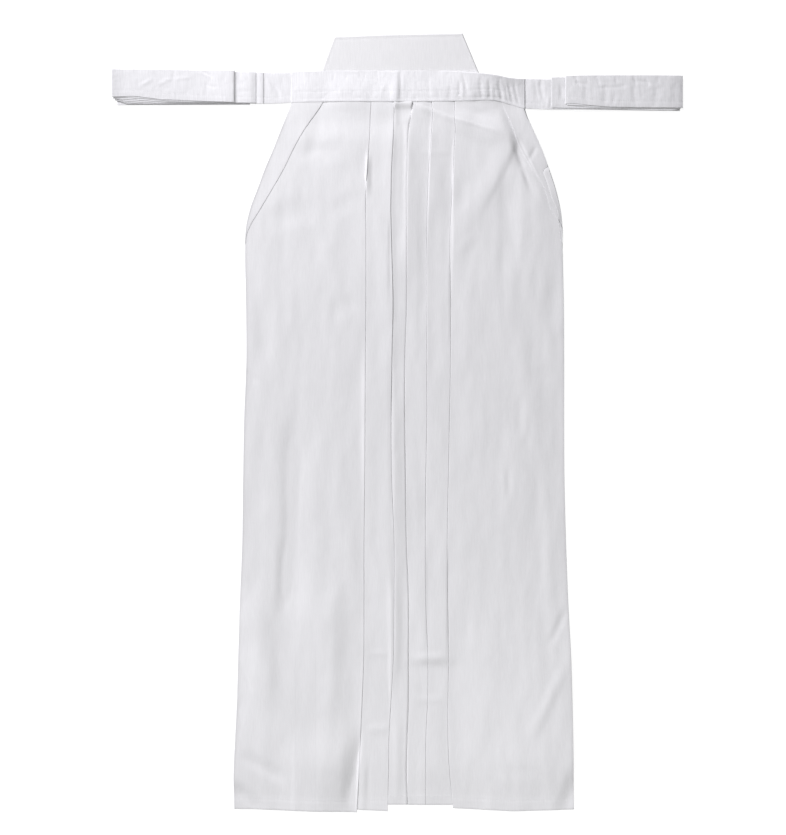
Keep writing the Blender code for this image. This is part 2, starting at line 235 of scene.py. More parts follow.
# ---------------------------------------------------------------------------- measures of the garment

BodyRow = namedtuple(
    "BodyRow", "height right_side right_outer right_inner left_inner left_middle left_outer left_side"
)
# Side edges and the fold edge of each front pleat, from the hem to the seam inside the waistband.
BODY = measures(
    BodyRow,
    (0, -219.5, -54.0, -12.5, 15.0, 39.0, 75.5, 238.5),
    (50, -220.5, -51.5, -11.5, 13.0, 39.0, 71.5, 238.0),
    (97, -218.5, -49.5, -11.0, 14.0, 39.0, 69.0, 237.5),
    (151, -216.0, -47.0, -8.0, 16.0, 41.5, 69.0, 236.5),
    (205, -214.5, -45.0, -5.0, 16.0, 42.0, 70.0, 235.0),
    (286, -212.0, -44.5, -4.0, 16.0, 39.0, 69.0, 231.0),
    (367, -209.0, -44.5, -4.0, 13.0, 38.5, 68.0, 228.0),
    (448, -208.0, -43.5, -7.0, 12.0, 39.0, 69.5, 226.0),
    (529, -206.5, -43.0, -8.0, 11.0, 40.5, 71.0, 225.5),
    (610, -203.5, -42.5, -7.0, 11.0, 40.5, 72.5, 225.5),
    (691, -204.0, -42.0, -5.5, 13.5, 40.0, 73.0, 225.0),
    (767, -205.0, -42.0, -7.5, 13.5, 40.0, 71.5, 223.5),
    (788, -204.0, -42.0, -8.0, 13.5, 40.5, 72.0, 223.5),
    (815, -198.0, -42.5, -8.5, 13.5, 41.0, 73.5, 220.5),
    (842, -188.0, -42.0, -8.0, 13.0, 42.0, 75.0, 214.0),
    (869, -178.0, -40.0, -7.5, 14.0, 43.0, 76.5, 205.0),
    (896, -166.5, -38.0, -6.0, 14.5, 45.5, 77.5, 195.0),
    (923, -156.0, -36.5, -4.5, 16.0, 47.0, 79.0, 183.0),
    (942, -148.5, -36.0, -4.0, 19.5, 48.5, 77.5, 175.0),
    (956, -143.0, -35.0, -4.0, 21.5, 47.0, 78.5, 171.5),
    (967, -139.5, -35.0, -4.0, 21.5, 46.5, 78.5, 169.0),
)

# How far each piece of the hem lies above the lowest hem.
HEM_PANEL_RIGHT = ((-219.5, 4.7), (-54.0, 0.0))
HEM_STRIP_RIGHT = ((-72.0, 4.0), (-12.5, 1.5))
HEM_CENTRE_STRIP = ((-20.0, 10.2), (26.0, 10.2))
HEM_STRIPS_LEFT = ((15.0, 10.0), (75.0, 9.8))
HEM_PANEL_LEFT = ((75.5, 5.4), (157.0, 1.4), (238.5, 4.0))

# The pleats of each front from its side inward, how far each runs under its neighbour, where the strip
# after the last one ends, and the hem of the panel and of each strip after it.
Front = namedtuple("Front", "folds underlaps tail hems")
FRONTS = {
    "right": Front(
        ("right_outer", "right_inner"),
        (PLEAT_UNDERLAP, PLEAT_UNDERLAP),
        CENTRE_STRIP_END,
        (HEM_PANEL_RIGHT, HEM_STRIP_RIGHT, HEM_CENTRE_STRIP),
    ),
    "left": Front(
        ("left_outer", "left_middle", "left_inner"),
        (PLEAT_UNDERLAP, PLEAT_UNDERLAP, CENTRE_UNDERLAP),
        None,
        (HEM_PANEL_LEFT, HEM_STRIPS_LEFT, HEM_STRIPS_LEFT),
    ),
}
INWARD = {"right": 1, "left": -1}

SideFoldRow = namedtuple("SideFoldRow", "height right_edge left_edge")
# Free edges of the two side folds.
SIDE_FOLDS = measures(
    SideFoldRow,
    (767, -204.9, 223.3),
    (778, -203.6, 223.2),
    (788, -199.9, 222.6),
    (815, -184.0, 207.5),
    (842, -168.0, 199.3),
    (869, -152.5, 182.5),
    (896, -139.5, 166.5),
    (923, -124.0, 156.5),
    (942, -110.5, 149.0),
    (956, -101.0, 142.5),
    (967, -94.5, 138.5),
)

OpeningRow = namedtuple("OpeningRow", "height inset")
# How far the front and the side fold draw back from the left side, where the back shows beyond them.
OPENING = measures(
    OpeningRow,
    (758, 0.0), (767, 0.5), (776, 2.5), (786, 3.3), (796, 4.0), (806, 4.7), (815, 6.0), (823, 8.0),
    (831, 9.8), (840, 9.5), (853, 10.0), (864, 10.0), (868, 6.0), (872, 0.0),
)

BandStation = namedtuple("BandStation", "x top bottom")
BAND = measures(
    BandStation,
    (-143.2, 999.0, 957.6),
    (-120.0, 999.8, 958.0),
    (-97.0, 1000.4, 958.4),
    (-72.0, 1000.6, 958.6),
    (-36.0, 1000.6, 958.6),
    (4.0, 1000.6, 958.5),
    (44.0, 1000.6, 958.8),
    (80.0, 999.8, 959.4),
    (104.0, 997.6, 960.0),
    (124.0, 995.8, 960.7),
    (136.5, 993.9, 959.6),
    (148.5, 991.4, 956.1),
    (160.7, 990.2, 952.4),
    (173.0, 989.7, 948.9),
)

# The back board: its corners and the top of its slightly bowed upper edge.
BOARD_LOW_RIGHT = (-116.8, 959.9)
BOARD_TOP_RIGHT = (-85.1, 1047.0)
BOARD_TOP_MIDDLE = (1.4, 1050.0)
BOARD_TOP_LEFT = (88.4, 1051.4)
BOARD_LOW_LEFT = (126.6, 959.9)

Stack = namedtuple("Stack", "layer height")
# Heights of a bundle's layers: the right bundle is looser at its top, the left one lies on loose back ties.
STACKS = {"right": Stack((0, 3, 8), (0.5, 1.9, 4.2)), "left": Stack((0, 3, 8), (0.5, 2.8, 4.1))}
StrapStation = namedtuple("StrapStation", "x top bottom layer turn", defaults=[False])
# Each tie runs from station to station. A turn is a fold back on itself, one layer up.
STRAPS = {
    "back_strap_right": (
        (-117.4, 999.3, 960.6, 0),
        (-147.2, 998.6, 958.9, 0),
        (-378.0, 995.6, 954.5, 0, True),
        (-198.5, 996.3, 955.0, 1, True),
        (-347.0, 996.3, 955.8, 2),
    ),
    "back_strap_left": (
        (127.2, 995.0, 960.9, 0),
        (148.0, 990.5, 956.5, 0),
        (172.8, 989.4, 951.2, 0),
        (382.1, 989.6, 946.6, 0, True),
        (236.3, 989.6, 948.4, 1, True),
        (361.8, 989.6, 946.6, 2),
    ),
    "front_strap_right": (
        (-139.0, 997.4, 959.0, 3.15),
        (-150.0, 997.5, 957.0, 3.2),
        (-174.2, 997.7, 956.1, 3),
        (-192.0, 997.6, 956.6, 3),
        (-330.0, 997.4, 955.2, 3),
        (-364.0, 997.4, 955.6, 3),
        (-381.0, 997.4, 961.0, 3, True),
        (-362.0, 998.0, 957.0, 4),
        (-330.0, 998.0, 955.6, 4),
        (-180.2, 997.9, 956.2, 3.6, True),
        (-330.0, 999.0, 957.0, 5),
        (-366.0, 999.5, 959.4, 5),
        (-383.0, 999.5, 963.0, 5, True),
        (-350.0, 999.5, 960.8, 6),
        (-300.0, 999.0, 957.4, 6),
        (-190.4, 998.7, 956.9, 5.2, True),
        (-300.0, 1000.0, 958.6, 7),
        (-345.0, 1001.0, 963.2, 7),
        (-384.8, 1002.5, 965.0, 7, True),
        (-355.0, 1002.4, 966.2, 8),
        (-318.0, 1002.0, 961.6, 8),
        (-267.0, 1001.0, 959.4, 8),
        (-219.0, 1000.5, 957.7, 8),
    ),
    "front_strap_left": (
        (169.0, 989.9, 949.8, 1.65),
        (176.0, 989.7, 949.3, 1.75),
        (204.0, 988.9, 948.2, 3),
        (228.0, 989.2, 948.2, 3),
        (256.0, 990.0, 948.0, 3),
        (300.0, 990.4, 948.2, 3),
        (372.0, 990.9, 946.9, 3),
        (383.0, 990.9, 949.6, 3, True),
        (300.0, 991.4, 949.4, 4),
        (208.3, 991.7, 950.4, 4, True),
        (262.0, 992.0, 949.6, 5),
        (383.8, 992.3, 950.0, 5, True),
        (262.0, 992.4, 951.2, 6),
        (229.5, 992.5, 953.6, 6, True),
        (252.0, 993.0, 953.4, 7),
        (385.8, 994.1, 950.4, 7, True),
        (345.0, 994.4, 950.6, 8),
        (285.0, 994.4, 951.6, 8),
        (256.0, 994.2, 954.2, 8),
        (238.0, 993.9, 956.6, 8),
        (227.0, 993.6, 955.4, 8),
    ),
}

# ---------------------------------------------------------------------------- creases

LEG_CREASES = crease_table(
    # the wearer's right front: long troughs and swells down the panel
    (-156.6, 225, -138.4, 576, 26, 15, -0.7, -6),
    (-156, 150, -136, 580, 22, 34, -2.3, -4),
    (-172, 50, -182, 340, 50, 80, 2.2),
    (-159, 245, -146, 372, 18, 12, -1.2, -2),
    (-124, 205, -122, 500, 14, 34, 0.4),
    (-90, 90, -92, 340, 74, 32, 3.8),
    (-69, 230, -69, 502, 30, 26, 0.7),
    (-178, 594, -181, 711, 16, 20, -0.7),
    # folds that run in from the side and the corner of the hem
    (-171, 128, -200, 312, 34, 26, 2.9),
    (-217, 81, -142, 38, 17, 12, -1.4),
    (-227, 42, -178, -8, 16, 14, -2.4),
    (-215, 205, -193, 159, 4, 6, -0.8),
    (-217, 148, -208, 119, 4, 5, -0.6),
    (-207, 598, -188, 578, 5, 7, -0.6),
    # valley and swells beside the outer pleat at the hem
    (-84, 0, -60, 110, 46, 16, 0.7),
    (-60, -14, -49, 116, 24, 3.5, -3.0),
    (-116, -90, -100, 135, 60, 60, 4.8),
    (-138, -30, -139, 110, 5, 28, 0.6),
    (-48, -40, -44, 90, 9, 6, 0.9),
    # low swells across both legs, at the hem and above it
    (-420, 70, 420, 66, 150, 66, 1.6),
    (-300, 0, -60, 0, 250, 60, 2.2),
    (90, 0, 320, 0, 250, 60, 2.2),
    # crests and dimples below the waistband and beside the side fold
    (-101, 960, -31, 960, 10, 18, 1.0),
    (-125, 903, 35, 905, 36, 45, 1.3),
    (-139, 880, -101, 905, 20, 16, -0.9),
    (-131, 883, -63, 899, 18, 22, -0.8),
    (-188, 791, -101, 818, 24, 26, -0.8, 3),
    (-96, 807, -47, 832, 18, 18, -0.5),
    (-96, 667, -47, 697, 18, 18, -0.45),
    # the pleats: marks of packing across them
    (-42, 215, -7, 215, 6, 9, 0.5),
    (-42, 115, -9, 112, 7, 12, 0.7),
    (18, 209, 72, 209, 9, 12, 0.9),
    (-2, 209, 98, 209, 130, 16, 1.2),
    (18, 153, 72, 151, 8, 9, 0.5),
    (18, 891, 81, 891, 4, 5, 0.35),
    (14, 960, 92, 930, 2.0, 10, 0.8),
    (66, 941, 150, 914, 2.4, 5, 0.7),
    (47, 647, 73, 620, 3, 4, -0.35),
    # along the pleats
    (-43.4, 390, -43.2, 650, 6, 36, 1.1),
    (-4, 170, -4, 400, 44, 18, 1.3),
    (-5.5, 330, -8.5, 610, 26, 18, 1.2),
    (-4.5, 170, -4.5, 400, 6, 2, -0.6),
    (-5.5, 350, -8, 640, 6, 2, -0.6),
    (-8, 520, -5.5, 760, 24, 9, 0.5),
    (-6, 690, -8.5, 860, 26, 6, 0.7),
    (-8, 800, -4.5, 950, 26, 5, 0.7),
    (14, 700, 19, 990, 10, 22, 1.4),
    (41, 760, 48, 980, 1.4, 18, 0.6),
    (74, 680, 77, 960, 1.4, 22, 0.7),
    (-37, 14, -38, 70, 3, 3, -0.6, 1.5),
    (0, -3, 0, 143, 8, 10, 0.8),
    (14, 891, 9, 953, 3, 4, 0.5),
    (-41.6, 826, -40.8, 896, 0.8, 8, 2.0),
    (-3.4, 918, -3.2, 985, 1, 7.5, 1.2),
    (-9, 130, -9, 350, 2, 17, 1.3),
    (-12, 680, -12, 820, 24, 2, 0.8),
    (38, 190, 38, 380, 24, 3, 0.5),
    (66, 190, 67, 380, 26, 3, 0.9),
    (70, 610, 70, 770, 26, 3, 0.8),
    (15, 10, 15, 130, 3, 24, 0.7),
    # the wearer's left front: swells along the side fold, and diagonal folds from the hip
    (130, 964, 166, 870, 15, 44, 1.6),
    (168, 884, 206, 800, 14, 30, 1.0),
    (101, 794, 171, 936, 24, 10, 1.1, -2),
    (155, 912, 184, 830, 4, 6, -0.8),
    (60, 740, 140, 880, 34, 30, 0.6),
    (80, 751, 107, 783, 10, 12, 0.4),
    (190, 826, 152, 918, 9, 9, -0.7),
    (88, 807, 93, 864, 12, 10, -0.6),
    (143, 711, 146, 869, 14, 34, -0.9),
    (171, 742, 160, 907, 20, 16, 0.48),
    (190, 900, 176, 875, 3, 5, -0.8),
    (158, 925, 196, 850, 26, 3, 1.0),
    (56, 956, 172, 950, 10, 26, -1.2),
    (52, 948, 172, 904, 20, 28, 2.4),
    # soft folds down its outer half
    (206, 651, 213, 720, 22, 22, -0.5),
    (197, 556, 180, 684, 22, 20, -0.6),
    (166, 502, 166, 567, 10, 9, -0.7),
    (190, 286, 188, 495, 20, 16, -0.9),
    (151, 417, 150, 473, 7, 7, -0.6),
    (126, 97, 120, 259, 40, 40, 1.2),
    (232, -40, 228, 300, 140, 30, 3.4),
    # folds that run in from its side and the corner of the hem
    (204, 219, 230, 279, 8, 8, -0.9),
    (178, 92, 231, 208, 12, 12, 1.0),
    (220, -8, 246, 63, 18, 14, -1.6),
    (123, 55, 200, 55, 12, 14, -0.3),
)

BAND_CREASES = crease_table(
    # short puckers under the upper edge
    (-118, 988, -116, 1003, 2.5, 2.5, -0.25),
    (-85, 986, -85, 1003, 2.5, 2.5, -0.3),
    (-68, 987, -68, 1003, 2.5, 2.5, -0.3),
    (-50, 987, -50, 1003, 2.5, 2.5, -0.35),
    (-44, 987, -44, 1003, 2, 2.5, -0.3),
    (-36, 990, -35, 1003, 2.5, 2.5, -0.2),
    (-27, 988, -27, 1003, 2.5, 3, -0.35),
    # the fold at the centre
    (4, 945, 4, 1015, 4.5, 5, -0.5),
    (0, 945, 0, 1015, 30, 6.5, 0.8),
    # a crease where the side fold ends beneath, and others beside the centre
    (-104, 960, -90, 973, 3, 3, -0.25),
    (-64, 962, -58, 974, 3, 4, -0.25),
    (-24, 960, -16, 986, 3, 4, 0.3),
    (14, 960, 17, 972, 2, 2.5, -0.3),
    (24, 960, 27, 970, 2, 2.5, -0.3),
    # puckers of the wearer's left half, deeper toward the tie
    (45, 962, 41, 996, 3, 4, -0.35),
    (58, 958, 56, 976, 3, 3, -0.3),
    (70, 958, 72, 982, 4, 4, -0.3),
    (84, 957, 84, 990, 3.5, 4.5, -0.75),
    (92, 958, 92, 990, 3.5, 4, -0.45),
    (101, 958, 88, 1000, 4, 4, -0.5, 2),
    (115.5, 955, 111, 992, 4, 5, -0.75),
    (126, 955, 123.5, 992, 3.5, 4.5, -0.7),
    (134, 957, 130.5, 980, 2.5, 3, -0.35),
    (144.5, 953, 136, 994, 3.5, 4, -0.75, 1),
    (151, 953, 146, 984, 2.5, 3, -0.45, 1),
    (158.6, 951, 150, 991, 3, 3.5, -0.6, 1.5),
    (167.4, 948, 158, 990, 3, 3.5, -0.6, 2),
    (141, 958, 131, 976, 1.6, 1.6, 0.3),
)
# Toward the left tie the band twists: it stands up, more at its upper edge, then falls away to the tie.
Twist = namedtuple("Twist", "start crest end foot head")
TWIST = Twist(50.0, 122.0, 172.0, 0.4, 6.1)
TWIST_FOOT = (-1, 8)

STRAP_CREASES = crease_table(
    # the wearer's right tie: creases across it, and the roll of its free end
    (-349, 979, -328, 990, 4, 5, 0.5),
    (-327, 978, -300, 990, 4, 5, 0.5, 2),
    (-306, 988, -272, 992, 4, 4, 0.35),
    (-266, 1000, -246, 988, 3, 3, -0.7, 2),
    (-270, 1000, -250, 987, 2.5, 3, 0.6, 2),
    (-260, 985, -240, 979, 3, 3, -0.4, -3),
    (-302, 985, -302, 1004, 3, 4, -0.3),
    (-282, 955, -283, 980, 4, 5, -0.35),
    (-258, 962, -257, 988, 3, 4, -0.4),
    (-232, 985, -231, 1003, 3, 4, -0.3),
    (-223, 900, -223, 1060, 40, 8, 2.0),
    (-198, 900, -199, 1060, 22, 9, 1.2),
    (-184, 900, -185, 1060, 6, 8, 0.6),
    # its next layers, between the free end and the waistband
    (-206, 1006, -199, 985, 4, 4, -0.4),
    (-216, 972, -194, 972, 5, 5, -0.35),
    (-170, 985, -158, 960, 4, 5, -0.5, 3),
    (-176, 990, -168, 970, 4, 4, 0.4),
    (-156, 994, -150, 975, 3, 4, -0.35),
    # the wearer's left tie, beside the waistband and under its free end
    (184, 990, 189, 955, 5, 6, -0.5, 2),
    (196, 994, 200, 958, 6, 4, -0.8, -4),
    (205, 968, 204, 950, 3, 3, 0.4),
    (218, 985, 220, 958, 6, 3, -0.6, 2),
    # its top layer: short puckers above a long one, and soft ripples below
    (236, 984, 262, 979, 3, 4, -0.45, 2),
    (258, 979, 320, 983, 3, 4, -0.35, -3),
    (312, 986, 352, 980, 3, 4, -0.35, 3),
    (240, 996, 245, 980, 3, 4, -0.45),
    (256, 994, 257, 980, 3, 4, -0.35),
    (268, 997, 274, 979, 3, 4, -0.5),
    (295, 996, 297, 981, 3, 4, -0.4),
    (318, 996, 324, 979, 3, 4, -0.5),
    (334, 992, 341, 978, 3, 4, -0.4),
    (351, 994, 353, 981, 3, 4, -0.35),
    (257, 952, 256, 986, 6, 7, -0.4, 2),
    (278, 950, 281, 984, 5, 7, -0.45, -1),
    (290, 952, 294, 970, 4, 5, -0.4),
    (322, 950, 319, 988, 5, 7, -0.5, 1),
    (348, 950, 349, 984, 6, 8, -0.4, -1),
    (374, 950, 373, 988, 7, 8, -0.45),
)

FoldRow = namedtuple("FoldRow", "height nest lift pinch", defaults=[0.0])
# How the edge of each pleat lies along its length. nest is the share of its two layers that the strip
# beside it climbs at once, lift how far the edge stands off, and pinch how sharply it is drawn up.
FOLD_FORMS = {
    "right_outer": (
        (0, 0.3, 0.3), (43, 0.5, 0.2), (131, 0.9, 0.1, 0.3), (232, 1.0, 0.0, 0.2),
        (340, 0.9, 0.1, 0.1), (502, 0.95, 0.1), (570, 1.0, 0.0), (691, 0.9, 0.1), (799, 1.0, 0.0),
        (835, 0.85, 0.25), (862, 0.6, 0.6), (884, 0.75, 0.2), (905, 1.0, 0.1), (960, 1.0, 0.0),
    ),
    "right_inner": (
        (0, 0.9, 0.0, 0.1), (43, 1.0, 0.0, 0.1), (131, 1.0, 0.0, 0.2), (200, 1.0, 0.0, 0.1),
        (232, 0.8, 0.1), (340, 0.7, 0.1), (440, 0.9, 0.0), (502, 1.0, 0.0), (530, 0.9, 0.2),
        (570, 0.8, 0.7), (610, 0.8, 0.4), (691, 0.8, 0.6), (799, 0.85, 0.6), (864, 0.9, 0.55),
        (921, 0.85, 0.35), (940, 0.5, 0.1), (960, 0.3, 0.0),
    ),
    "left_inner": (
        (0, 1.0, 0.3), (43, 1.0, 0.3), (131, 1.0, 0.2), (232, 0.9, 0.0), (340, 0.7, 0.0),
        (502, 0.8, 0.0), (691, 0.5, 0.2), (799, 0.3, 0.6), (842, 0.3, 1.1), (895, 0.3, 0.8),
        (918, 0.55, 0.2), (933, 0.75, 0.0), (960, 0.9, 0.0),
    ),
    "left_middle": (
        (0, 0.95, 0.1), (43, 0.9, 0.0), (131, 0.85, 0.0), (502, 0.85, 0.0), (570, 0.75, 0.0),
        (691, 0.2, 0.3), (799, 0.4, 0.7), (864, 0.3, 1.1), (915, 0.3, 0.9), (945, 0.4, 0.0),
        (960, 0.4, 0.0),
    ),
    "left_outer": (
        (0, 0.95, 0.1), (43, 0.9, 0.0), (131, 0.7, 0.0), (232, 0.85, 0.0), (502, 0.85, 0.0),
        (691, 0.65, 0.1), (799, 0.3, 0.5), (838, 0.3, 1.0), (870, 0.3, 0.5), (921, 0.4, 0.3),
        (945, 0.4, 0.0), (960, 0.4, 0.0),
    ),
}
FOLD_STEPS = (12.0, 8.5, 5.5, 3.4, 2.0, 1.0, 0.0)
PINCH_WIDTH = 3.6

GrooveRow = namedtuple("GrooveRow", "height depth")
# The groove in the left panel along the side fold's free edge, deepest below the waistband.
HIP_GROOVE = measures(
    GrooveRow,
    (780, 0.0), (830, 0.12), (862, 0.35), (885, 0.65), (905, 1.1), (922, 1.05), (942, 0.8),
    (958, 0.3),
)
HIP_GROOVE_REACH = 14.0
HIP_GROOVE_SHORE = 3.0


# ---------------------------------------------------------------------------- shape of the cloth

def mix(a, b, t):
    return a + (b - a) * t


def smooth_step(value, low, high):
    """0 below low, 1 above high, and a smooth rise between them."""
    t = np.clip((value - low) / (high - low), 0.0, 1.0)
    return t * t * (3 - 2 * t)


def smooth_curve(at, stations, values):
    """A smooth curve through the (station, value) points, read at each place in at."""
    at = np.clip(at, stations[0], stations[-1])
    slopes = np.gradient(values, stations)
    i = np.clip(np.searchsorted(stations, at) - 1, 0, len(stations) - 2)
    width = stations[i + 1] - stations[i]
    t = (at - stations[i]) / width
    start = (1 + 2 * t) * (1 - t) ** 2 * values[i] + t * (1 - t) ** 2 * width * slopes[i]
    end = t * t * (3 - 2 * t) * values[i + 1] + t * t * (t - 1) * width * slopes[i + 1]
    return start + end


def body_edge(name, height):
    return smooth_curve(height, BODY.height, getattr(BODY, name))


def side_fold_edge(name, height):
    return smooth_curve(height, SIDE_FOLDS.height, getattr(SIDE_FOLDS, name))


def side_inset(height):
    """Opening of the left side, none outside the side fold's length."""
    return np.maximum(np.interp(height, OPENING.height, OPENING.inset), 0.0)


def front_side(side_name, height):
    """Side edge of a front, drawn back where the left side opens."""
    side = body_edge(side_name + "_side", height)
    return side - side_inset(height) if side_name == "left" else side


def band_edge(name, x):
    return smooth_curve(x, BAND.x, getattr(BAND, name))


def crease_height(creases, x, height):
    """Sum of the creases at each place."""
    total = np.zeros(np.broadcast(x, height).shape)
    for c in creases:
        dx, dh = c.end_x - c.start_x, c.end_height - c.start_height
        length = math.hypot(dx, dh)
        along = ((x - c.start_x) * dx + (height - c.start_height) * dh) / length
        across = ((height - c.start_height) * dx - (x - c.start_x) * dh) / length
        share = np.clip(along / length, 0.0, 1.0)
        across = across - c.bow * 4 * share * (1 - share)
        reach = np.clip(np.abs(across) / np.where(across > 0, c.left, c.right), 0.0, 1.0)
        fade = CREASE_FADE * length
        taper = smooth_step(along, 0, fade) * smooth_step(length - along, 0, fade)
        total += c.rise * (0.5 + 0.5 * np.cos(np.pi * reach)) * taper
    return total


def unevenness(x, height, wide, long, seed):
    """Soft random rise and fall between -1 and 1, wide and long millimetres from wave to wave."""
    flat = zip(np.ravel(x / wide), np.ravel(height / long))
    values = [noise.noise(Vector((u, v, seed))) for u, v in flat]
    return np.array(values).reshape(np.shape(x))


def waved(rise, x, height, waves):
    """A rise with its waves added one after the other."""
    for wave in waves:
        rise = rise + wave.rise * unevenness(x, height, wave.wide, wave.long, wave.seed)
    return rise


def wrinkles(x, height, wave):
    """Fine sharp wrinkles, here and there."""
    sharp = (1 - np.abs(unevenness(x, height, wave.wide, wave.long, wave.seed))) ** 8
    patches = 0.5 + 0.5 * unevenness(x, height, 3 * wave.wide, 3 * wave.long, wave.seed + 1)
    return -wave.rise * sharp * patches


def ridge(away, form):
    """A rounded ridge along an edge, or a groove where its rise is below 0."""
    return form.rise * np.exp(-(((away - form.at) / form.width) ** 2))


def support_height(x, height):
    """Top of what carries the front: the backs, or the board near the waist."""
    over_board = smooth_step(height, *ONTO_BOARD)
    inside = smooth_step(x, BOARD_LOW_RIGHT[0] - BOARD_SHOULDER, BOARD_LOW_RIGHT[0])
    inside = inside * (1 - smooth_step(x, BOARD_LOW_LEFT[0], BOARD_LOW_LEFT[0] + BOARD_SHOULDER))
    return mix(BACK_TOP, BOARD_THICKNESS, over_board * inside)


def loft(x, height):
    """How the fronts stand off the backs: most on the two panels, less at sides, pleats, hem and waist."""
    outer, inner = body_edge("right_outer", height), body_edge("left_outer", height)
    pleats = smooth_step(x, outer - PLEAT_FADE, outer) * (1 - smooth_step(x, inner, inner + PLEAT_FADE))
    right, left = body_edge("right_side", height), body_edge("left_side", height)
    sides = smooth_step(x, right, right + SIDE_FADE) * (1 - smooth_step(x, left - SIDE_FADE, left))
    ends = smooth_step(height, *HEM_FADE) * (1 - smooth_step(height, *WAIST_FADE))
    return LOFT * sides * (1 - (1 - PLEAT_LOFT) * pleats) * ends


def cloth_rise(x, height):
    """All that lifts the front off its lowest place, and never below what carries it."""
    rise = loft(x, height) + crease_height(LEG_CREASES, x, height)
    above = waved(rise, x, height, LEG_WAVES) - LOWEST_RISE
    return LOWEST_RISE + 0.5 * (above + np.sqrt(above * above + LOWEST_ROUNDING))


def layer_centre(x, height, layer):
    """Middle of the cloth in a layer of the front, 1 being the lowest. Layers are bulkier at the waist."""
    carried = support_height(x, height) - BACK_TOP + LOWEST_LAYER
    pitch = mix(LAYER, WAIST_LAYER, smooth_step(height, *WAIST_BULK))
    return carried + (layer - 1) * pitch + cloth_rise(x, height)


def fold_form(name, column, height):
    rows = measures(FoldRow, *(FoldRow(*row) for row in FOLD_FORMS[name]))
    return np.interp(height, rows.height, getattr(rows, column))


def layer_beside(name, height):
    """Layer that the strip beside a pleat climbs to at once."""
    return 1.0 + 2.0 * fold_form(name, "nest", height)


# ---------------------------------------------------------------------------- meshes

def new_piece(name, points, faces, material):
    """A mesh from points in metres."""
    mesh = bpy.data.meshes.new(name)
    mesh.from_pydata([tuple(point) for point in points], [], faces)
    mesh.update()
    mesh.shade_smooth()
    mesh.materials.append(material)
    piece = bpy.data.objects.new(name, mesh)
    bpy.context.scene.collection.objects.link(piece)
    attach(piece, "root")
    return piece


def in_metres(x, height, z):
    return np.stack([x * MM, HEM_Y + height * MM, z * MM], axis=-1)


def grid_faces(rows, columns, upward=True):
    corners = np.arange(rows * columns).reshape(rows, columns)
    a, b = corners[:-1, :-1], corners[:-1, 1:]
    c, d = corners[1:, 1:], corners[1:, :-1]
    order = (a, b, c, d) if upward else (d, c, b, a)
    return np.stack(order, axis=-1).reshape(-1, 4).tolist()


def cloth_sheet(name, grid, thickness, material, upward=True):
    """A closed thin shell on a grid of points in metres, rows by columns."""
    rows, columns = grid.shape[:2]
    piece = new_piece(name, grid.reshape(-1, 3), grid_faces(rows, columns, upward), material)
    wall = piece.modifiers.new("cloth", "SOLIDIFY")
    wall.thickness = thickness * MM
    wall.offset = 0.0
    wall.use_even_offset = False
    return piece


SEWN = {}
STITCH_SHARES = (0.5, 1.0, 0.5)
STITCH_SIDES = [(0, 3, 4, 1), (1, 4, 5, 2), (3, 6, 7, 4), (4, 7, 8, 5), (2, 5, 3, 0), (5, 8, 6, 3)]
STITCH_FACES = STITCH_SIDES + [(0, 1, 2), (6, 8, 7)]
STITCH_SINK = 0.03


def face_normals(grid, upward):
    """Directions straight off the cloth at each point of its grid."""
    across, along = np.gradient(grid, axis=1), np.gradient(grid, axis=0)
    normal = np.cross(across, along) * (1 if upward else -1)
    return normal / np.maximum(np.linalg.norm(normal, axis=2, keepdims=True), 1e-12)


def sew(name, line, normal, thickness):
    """Keeps a line of points on the cloth, to be sewn later."""
    SEWN.setdefault(name, []).append((line + normal * (thickness / 2 - STITCH_SINK) * MM, normal))


def sewn_rows(material):
    """Every kept line as a row of small raised stitches, joined in one mesh for each name."""
    slots = {"hem_stitches": "body_cloth", "board_stitches": "board_cloth"}
    for name, kept in SEWN.items():
        points, faces = [], []
        for line, normal in kept:
            at = np.concatenate([[0], np.cumsum(np.linalg.norm(np.diff(line, axis=0), axis=1))]) / MM
            for start in np.arange(0.5 * STITCH.pitch, at[-1] - STITCH.pitch, STITCH.pitch):
                where = start + STITCH.length * np.array([0.0, 0.5, 1.0])
                place = np.stack([np.interp(where, at, line[:, k]) for k in range(3)], axis=1)
                off = np.array([np.interp(where[1], at, normal[:, k]) for k in range(3)])
                side = np.cross(off, place[2] - place[0])
                side *= 0.5 * STITCH.width * MM / max(np.linalg.norm(side), 1e-12)
                base = len(points)
                for spot, share in zip(place, STITCH_SHARES):
                    crown = spot + off * STITCH.rise * share * MM
                    points += [spot - side * share, crown, spot + side * share]
                faces += [[base + i for i in face] for face in STITCH_FACES]
        piece = new_piece(name, points, faces, material)
        slots.get(name, "band_cloth")


def declare_sheet(node):
    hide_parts(node)


# ---------------------------------------------------------------------------- the fronts

